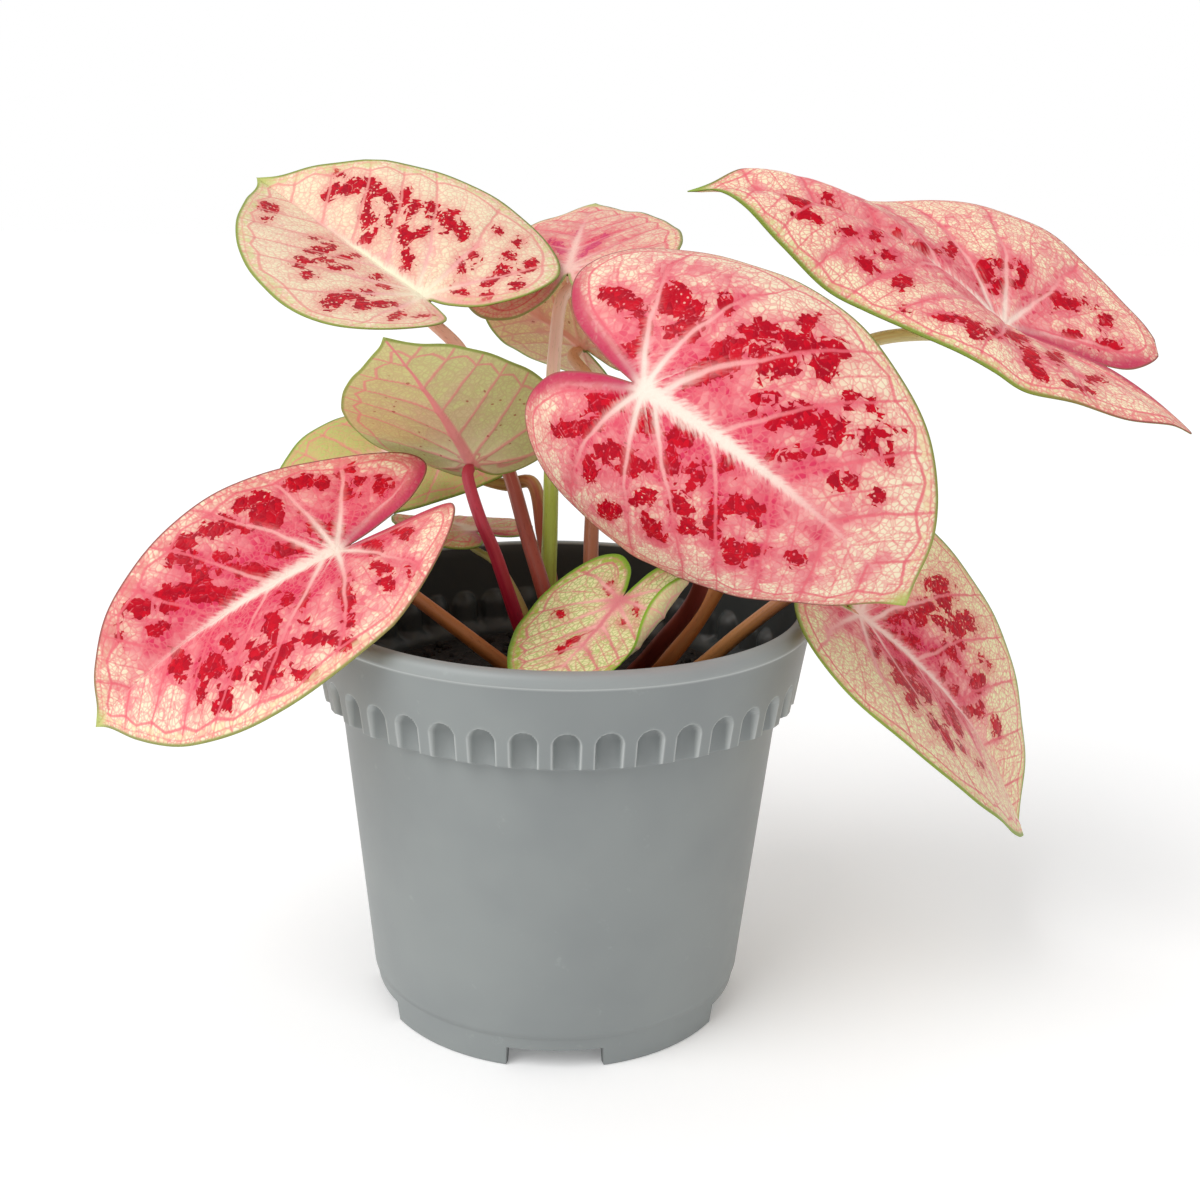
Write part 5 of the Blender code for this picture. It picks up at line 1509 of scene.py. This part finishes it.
    def edged(self, out):
        """The margin: a mottled hem, its veins, the deep rose of the sinus, the thin edge and the tip."""
        look = self.look
        hem = self.times(self.rise(self.band, *HEM), self.off_hub, look["margin"],
                         self.rise(self.small_share, *HEM_MOTTLE), HEM_SHARE)
        out = self.blend(hem, out, self.blend(self.greenness, look["pink_margin"], look["margin_colour"]))
        margin_net = self.times(self.rise(self.band, *MARGIN_NET),
                                self.rise(self.small_wall, *MARGIN_NET_LINE))
        outer_line = self.near(self.band, OUTER_LINE_AT, OUTER_LINE)
        lines = {"collecting": self.collecting, "outer_line": outer_line, "margin_net": margin_net}
        for key, line in lines.items():
            out = self.blend(self.times(line, self.off_hub, look[key]), out, look["vein_colour"])
        sinus = self.times(self.rise(self.inside, *SINUS_BAND), self.part_way(self.ahead, *SINUS_BEHIND),
                           self.part_way(self.lean, *SINUS_WIDTH))
        out = self.blend(self.times(sinus, look["sinus"]), out, look["sinus_colour"])
        width = self.total(EDGE_WIDTH, self.times(self.greenness, look["edge_width"]))
        edge = self.times(self.rise(self.math("DIVIDE", self.inside, width), *EDGE_LINE),
                          self.rise(self.reach, *EDGE_CLEARING))
        out = self.blend(edge, out, self.blend(self.greenness, look["pink_edge"], look["edge_colour"]))
        from_tip = self.far(self.aside, self.less(self.ahead, TIP_AT * self.length))
        return self.blend(self.times(self.rise(from_tip, *TIP), look["tip"]), out, look["tip_colour"])

    def underside(self):
        """The duller lower face: both nets, a pale heart, raised veins, a few dark specks and the edge."""
        look = self.look
        out = self.blend(self.rise(self.pinkness, *UNDER_PINK_RISE), look["under"], look["under_pink"])
        nets = self.math("MAXIMUM", self.net, self.small_net)
        out = self.blend(self.times(nets, look["under_nets"]), out, look["under_net"])
        heart = self.part_way(self.reach, *UNDER_HEART)
        out = self.blend(self.times(heart, look["under_hub"]), out, look["under_heart"])
        veins = self.math("MAXIMUM", self.vein, self.collecting)
        out = self.blend(self.times(veins, look["under_veins"]), out, look["under_vein"])
        speck = self.times(self.rise(self.small_middle, *SPECK_LINE),
                           self.rise(self.small_third, *SPECK_CHOICE),
                           self.rise(self.inside, *SPECK_CLEARING))
        out = self.blend(self.times(speck, look["specks"]), out, look["deep_crimson"])
        rib = self.rise(self.math("DIVIDE", self.lean, self.rib_width), *UNDER_RIB_LINE)
        out = self.blend(rib, out, look["under_vein"])
        return self.blend(self.rise(self.inside, *UNDER_EDGE_LINE), out, look["edge_colour"])

    def leaf_bump(self):
        """Both nets and the side veins sunk in the upper face and raised below, with a fine grain."""
        relief = self.total(self.times(self.rise(self.small_wall, *SMALL_MESH_ROUND), SMALL_MESH_RELIEF),
                            self.times(self.rise(self.wall, *MESH_ROUND), MESH_RELIEF),
                            self.times(self.vein, -VEIN_RELIEF),
                            self.times(self.noise(self.flat, GRAIN_SCALE), GRAIN_RELIEF))
        self.bump(self.times(relief, self.less(1.0, self.times(self.under, 2.0))), *LEAF_BUMP)


def leaf_finish(name, look):
    """A caladium leaf: cream and pink ground, net veins, side veins with rose borders, a pale midrib,
    crimson patches, a greenish margin, and a duller, raised-veined underside."""
    r = LeafRecipe(name, look)
    upper = r.edged(r.pale_veined(r.patched(r.ground())))
    colour = r.blend(r.rise(r.under, *FACE_CHANGE), upper, r.underside())
    r.leaf_bump()
    r.shader.inputs["Specular IOR Level"].default_value = LEAF_SPECULAR
    return r.finish(colour, r.total(LEAF_ROUGHNESS, r.times(r.cloud, LEAF_CLOUD_ROUGHNESS),
                                    r.times(r.patch, -PATCH_GLOSS), r.times(r.under, UNDER_ROUGHNESS)))


def stalk_finish(name, look):
    """A stalk: a colour run from foot to blade with long streaks, fine flecks and a soft waxy gloss."""
    foot, middle, top, flecks = look
    r = Recipe("stem_" + name)
    along, cosine, sine = r.parts(r.attribute("stem_place"))

    def lengthways(stretch, scale, detail):
        """A noise on the stalk's rolled-up face, drawn out along it."""
        return r.noise(r.joined(cosine, sine, r.times(along, stretch)), scale, detail)

    streak = lengthways(*STALK_STREAKS)
    shade = r.total(along, r.times(r.centred(streak), 0.5))
    colour = r.blend(r.rise(shade, *STALK_MIDDLE_RISE), foot, middle)
    colour = r.blend(r.rise(shade, *STALK_TOP_RISE), colour, top)
    fleck = r.rise(lengthways(*STALK_FLECKS), *FLECK_RISE)
    colour = r.blend(r.times(fleck, FLECK_SHARE), colour, flecks)
    r.bump(lengthways(*STALK_RIDGES), *STALK_BUMP)
    return r.finish(colour, r.total(STALK_ROUGHNESS, r.times(streak, STREAK_ROUGHNESS)))


def pot_finish():
    """Grey moulded plastic: a satin face with faint clouding, a fine grain and scuffs, painted highlight on
    the lip and the flutes' arches, and painted shade inside.
    """
    grey, lighter, pale_wear_and_highlight, inside_shade_grey = POT_GREYS
    r = Recipe("pot_plastic")
    place = r.object_place()
    cloud = r.noise(place, *PLASTIC_CLOUDS)
    scuff = r.noise(place, *PLASTIC_SCUFFS)
    rim_highlight, inside_shade_mask, _ = r.parts(r.attribute("pot_painted_light"))
    lip_highlight_mask = r.rise(r.parts(place)[2], BAND_TOP, BAND_TOP + LIP_HIGHLIGHT_HEIGHT)
    colour = r.blend(r.rise(cloud, *PLASTIC_CLOUD_RISE), grey, lighter)
    # painted highlight on the lip
    colour = r.blend(r.times(lip_highlight_mask, LIP_HIGHLIGHT_SHARE), colour, pale_wear_and_highlight)
    # painted highlight along the flutes' arches and under the lip
    colour = r.blend(r.times(rim_highlight, RIM_HIGHLIGHT_SHARE), colour, pale_wear_and_highlight)
    # painted shade inside the pot and inside the foot ring
    colour = r.blend(inside_shade_mask, colour, inside_shade_grey)
    # wear on the scuffs, in the same pale tone
    colour = r.blend(r.times(r.rise(scuff, *SCUFF_RISE), SCUFF_WEAR), colour, pale_wear_and_highlight)
    r.bump(r.noise(place, *PLASTIC_GRAIN), *PLASTIC_BUMP)
    return r.finish(colour, r.total(PLASTIC_ROUGHNESS, r.times(cloud, CLOUD_ROUGHNESS),
                                    r.times(r.centred(scuff), SCUFF_ROUGHNESS)))


def soil_finish():
    """Damp potting mix: near-black, browner on the lumps, with fine fibres."""
    damp, brown, pale = SOIL_BROWNS
    r = Recipe("potting_mix")
    place = r.object_place()
    lump = r.noise(place, *MIX_LUMPS)
    fibre = r.noise(place, *MIX_FIBRES)
    colour = r.blend(r.rise(lump, *MIX_LUMP_RISE), damp, brown)
    colour = r.blend(r.times(r.rise(fibre, *MIX_FIBRE_RISE), MIX_FIBRE_SHARE), colour, pale)
    r.bump(r.total(lump, r.times(fibre, MIX_FIBRE_HEIGHT)), *MIX_BUMP)
    return r.finish(colour, r.total(MIX_ROUGHNESS, r.times(fibre, FIBRE_ROUGHNESS)))


def turned_to(across, above, back, place=(0, 0, 0)):
    """The matrix that turns an object's own axes to three given ones and sets it at a place."""
    matrix = Matrix.Identity(4)
    for column, axis in enumerate((across, above, back)):
        matrix.col[column][:3] = axis
    matrix.translation = place
    return matrix


def add_camera():
    """The camera where the photograph was taken from, turned by its yaw, tilt and roll."""
    level = math.cos(CAMERA_DOWN)
    forward = np.array((math.sin(CAMERA_YAW) * level, math.cos(CAMERA_YAW) * level, -math.sin(CAMERA_DOWN)))
    right = np.array((math.cos(CAMERA_YAW), -math.sin(CAMERA_YAW), 0))
    up = np.cross(right, forward)
    across = right * math.cos(CAMERA_ROLL) + up * math.sin(CAMERA_ROLL)
    above = up * math.cos(CAMERA_ROLL) - right * math.sin(CAMERA_ROLL)
    data = bpy.data.cameras.new("photo_camera")
    data.sensor_width = SENSOR_WIDTH
    data.lens = CAMERA_LENS
    camera = in_scene("photo_camera", data)
    place = (POT_AXIS[0], POT_AXIS[1] - CAMERA_DISTANCE, CAMERA_HEIGHT)
    camera.matrix_world = turned_to(across, above, -forward, place)
    bpy.context.scene.camera = camera


def floor_finish():
    """A plain matt white floor that glows faintly, so that its shadows stay light."""
    r = Recipe("pale_floor")
    r.shader.inputs["Emission Color"].default_value = (1, 1, 1, 1)
    r.shader.inputs["Emission Strength"].default_value = FLOOR_GLOW
    return r.finish(r.blend(r.noise(r.object_place(), *FLOOR_CLOUDS), *FLOOR_WHITES), FLOOR_ROUGHNESS)


def add_floor():
    """A pale plain floor, large enough to fill the view."""
    data = bpy.data.meshes.new("floor")
    corners = [(x * FLOOR_HALF, y * FLOOR_HALF, 0) for x, y in ((-1, -1), (1, -1), (1, 1), (-1, 1))]
    data.from_pydata(corners, [], [(0, 1, 2, 3)])
    data.materials.append(floor_finish())
    in_scene("floor", data)


def add_lights():
    """A white surround, with one broad soft light from the upper left front."""
    data = bpy.data.lights.new("soft_light", "SUN")
    data.energy = SOFT_LIGHT_STRENGTH
    data.angle = SOFT_LIGHT_SPREAD
    way = np.array(SOFT_LIGHT_FROM) / np.linalg.norm(SOFT_LIGHT_FROM)
    level = np.cross((0, 0, 1), way)
    level /= np.linalg.norm(level)
    in_scene("soft_light", data).matrix_world = turned_to(level, np.cross(way, level), way)
    world = bpy.data.worlds.new("studio")
    bpy.context.scene.world = world
    world.use_nodes = True
    nodes, links = world.node_tree.nodes, world.node_tree.links
    background = nodes["Background"]
    background.inputs["Color"].default_value = (1, 1, 1, 1)
    seen = nodes.new("ShaderNodeLightPath").outputs["Is Camera Ray"]
    strength = nodes.new("ShaderNodeMapRange")
    links.new(seen, strength.inputs["Value"])
    strength.inputs["To Min"].default_value = SURROUND_LIGHT
    strength.inputs["To Max"].default_value = SURROUND_SEEN
    links.new(strength.outputs["Result"], background.inputs["Strength"])


def main():
    """Sets the stage, the pot with its soil, and a blade and a stalk for each leaf."""
    bpy.context.scene.view_settings.view_transform = "Standard"
    add_camera()
    add_floor()
    add_lights()
    plastic = pot_finish()
    earth = soil_finish()
    pot_shell(plastic)
    pot_floor(plastic)
    soil_bed(earth)
    soil_crumbs(earth)
    for name in list(LEAVES) + ["right_top"]:
        leaf_blade(name, leaf_finish(name, LEAF_LOOKS[name]))
        leaf_stalk(name, stalk_finish(name, STALK_LOOKS[name]))


main()
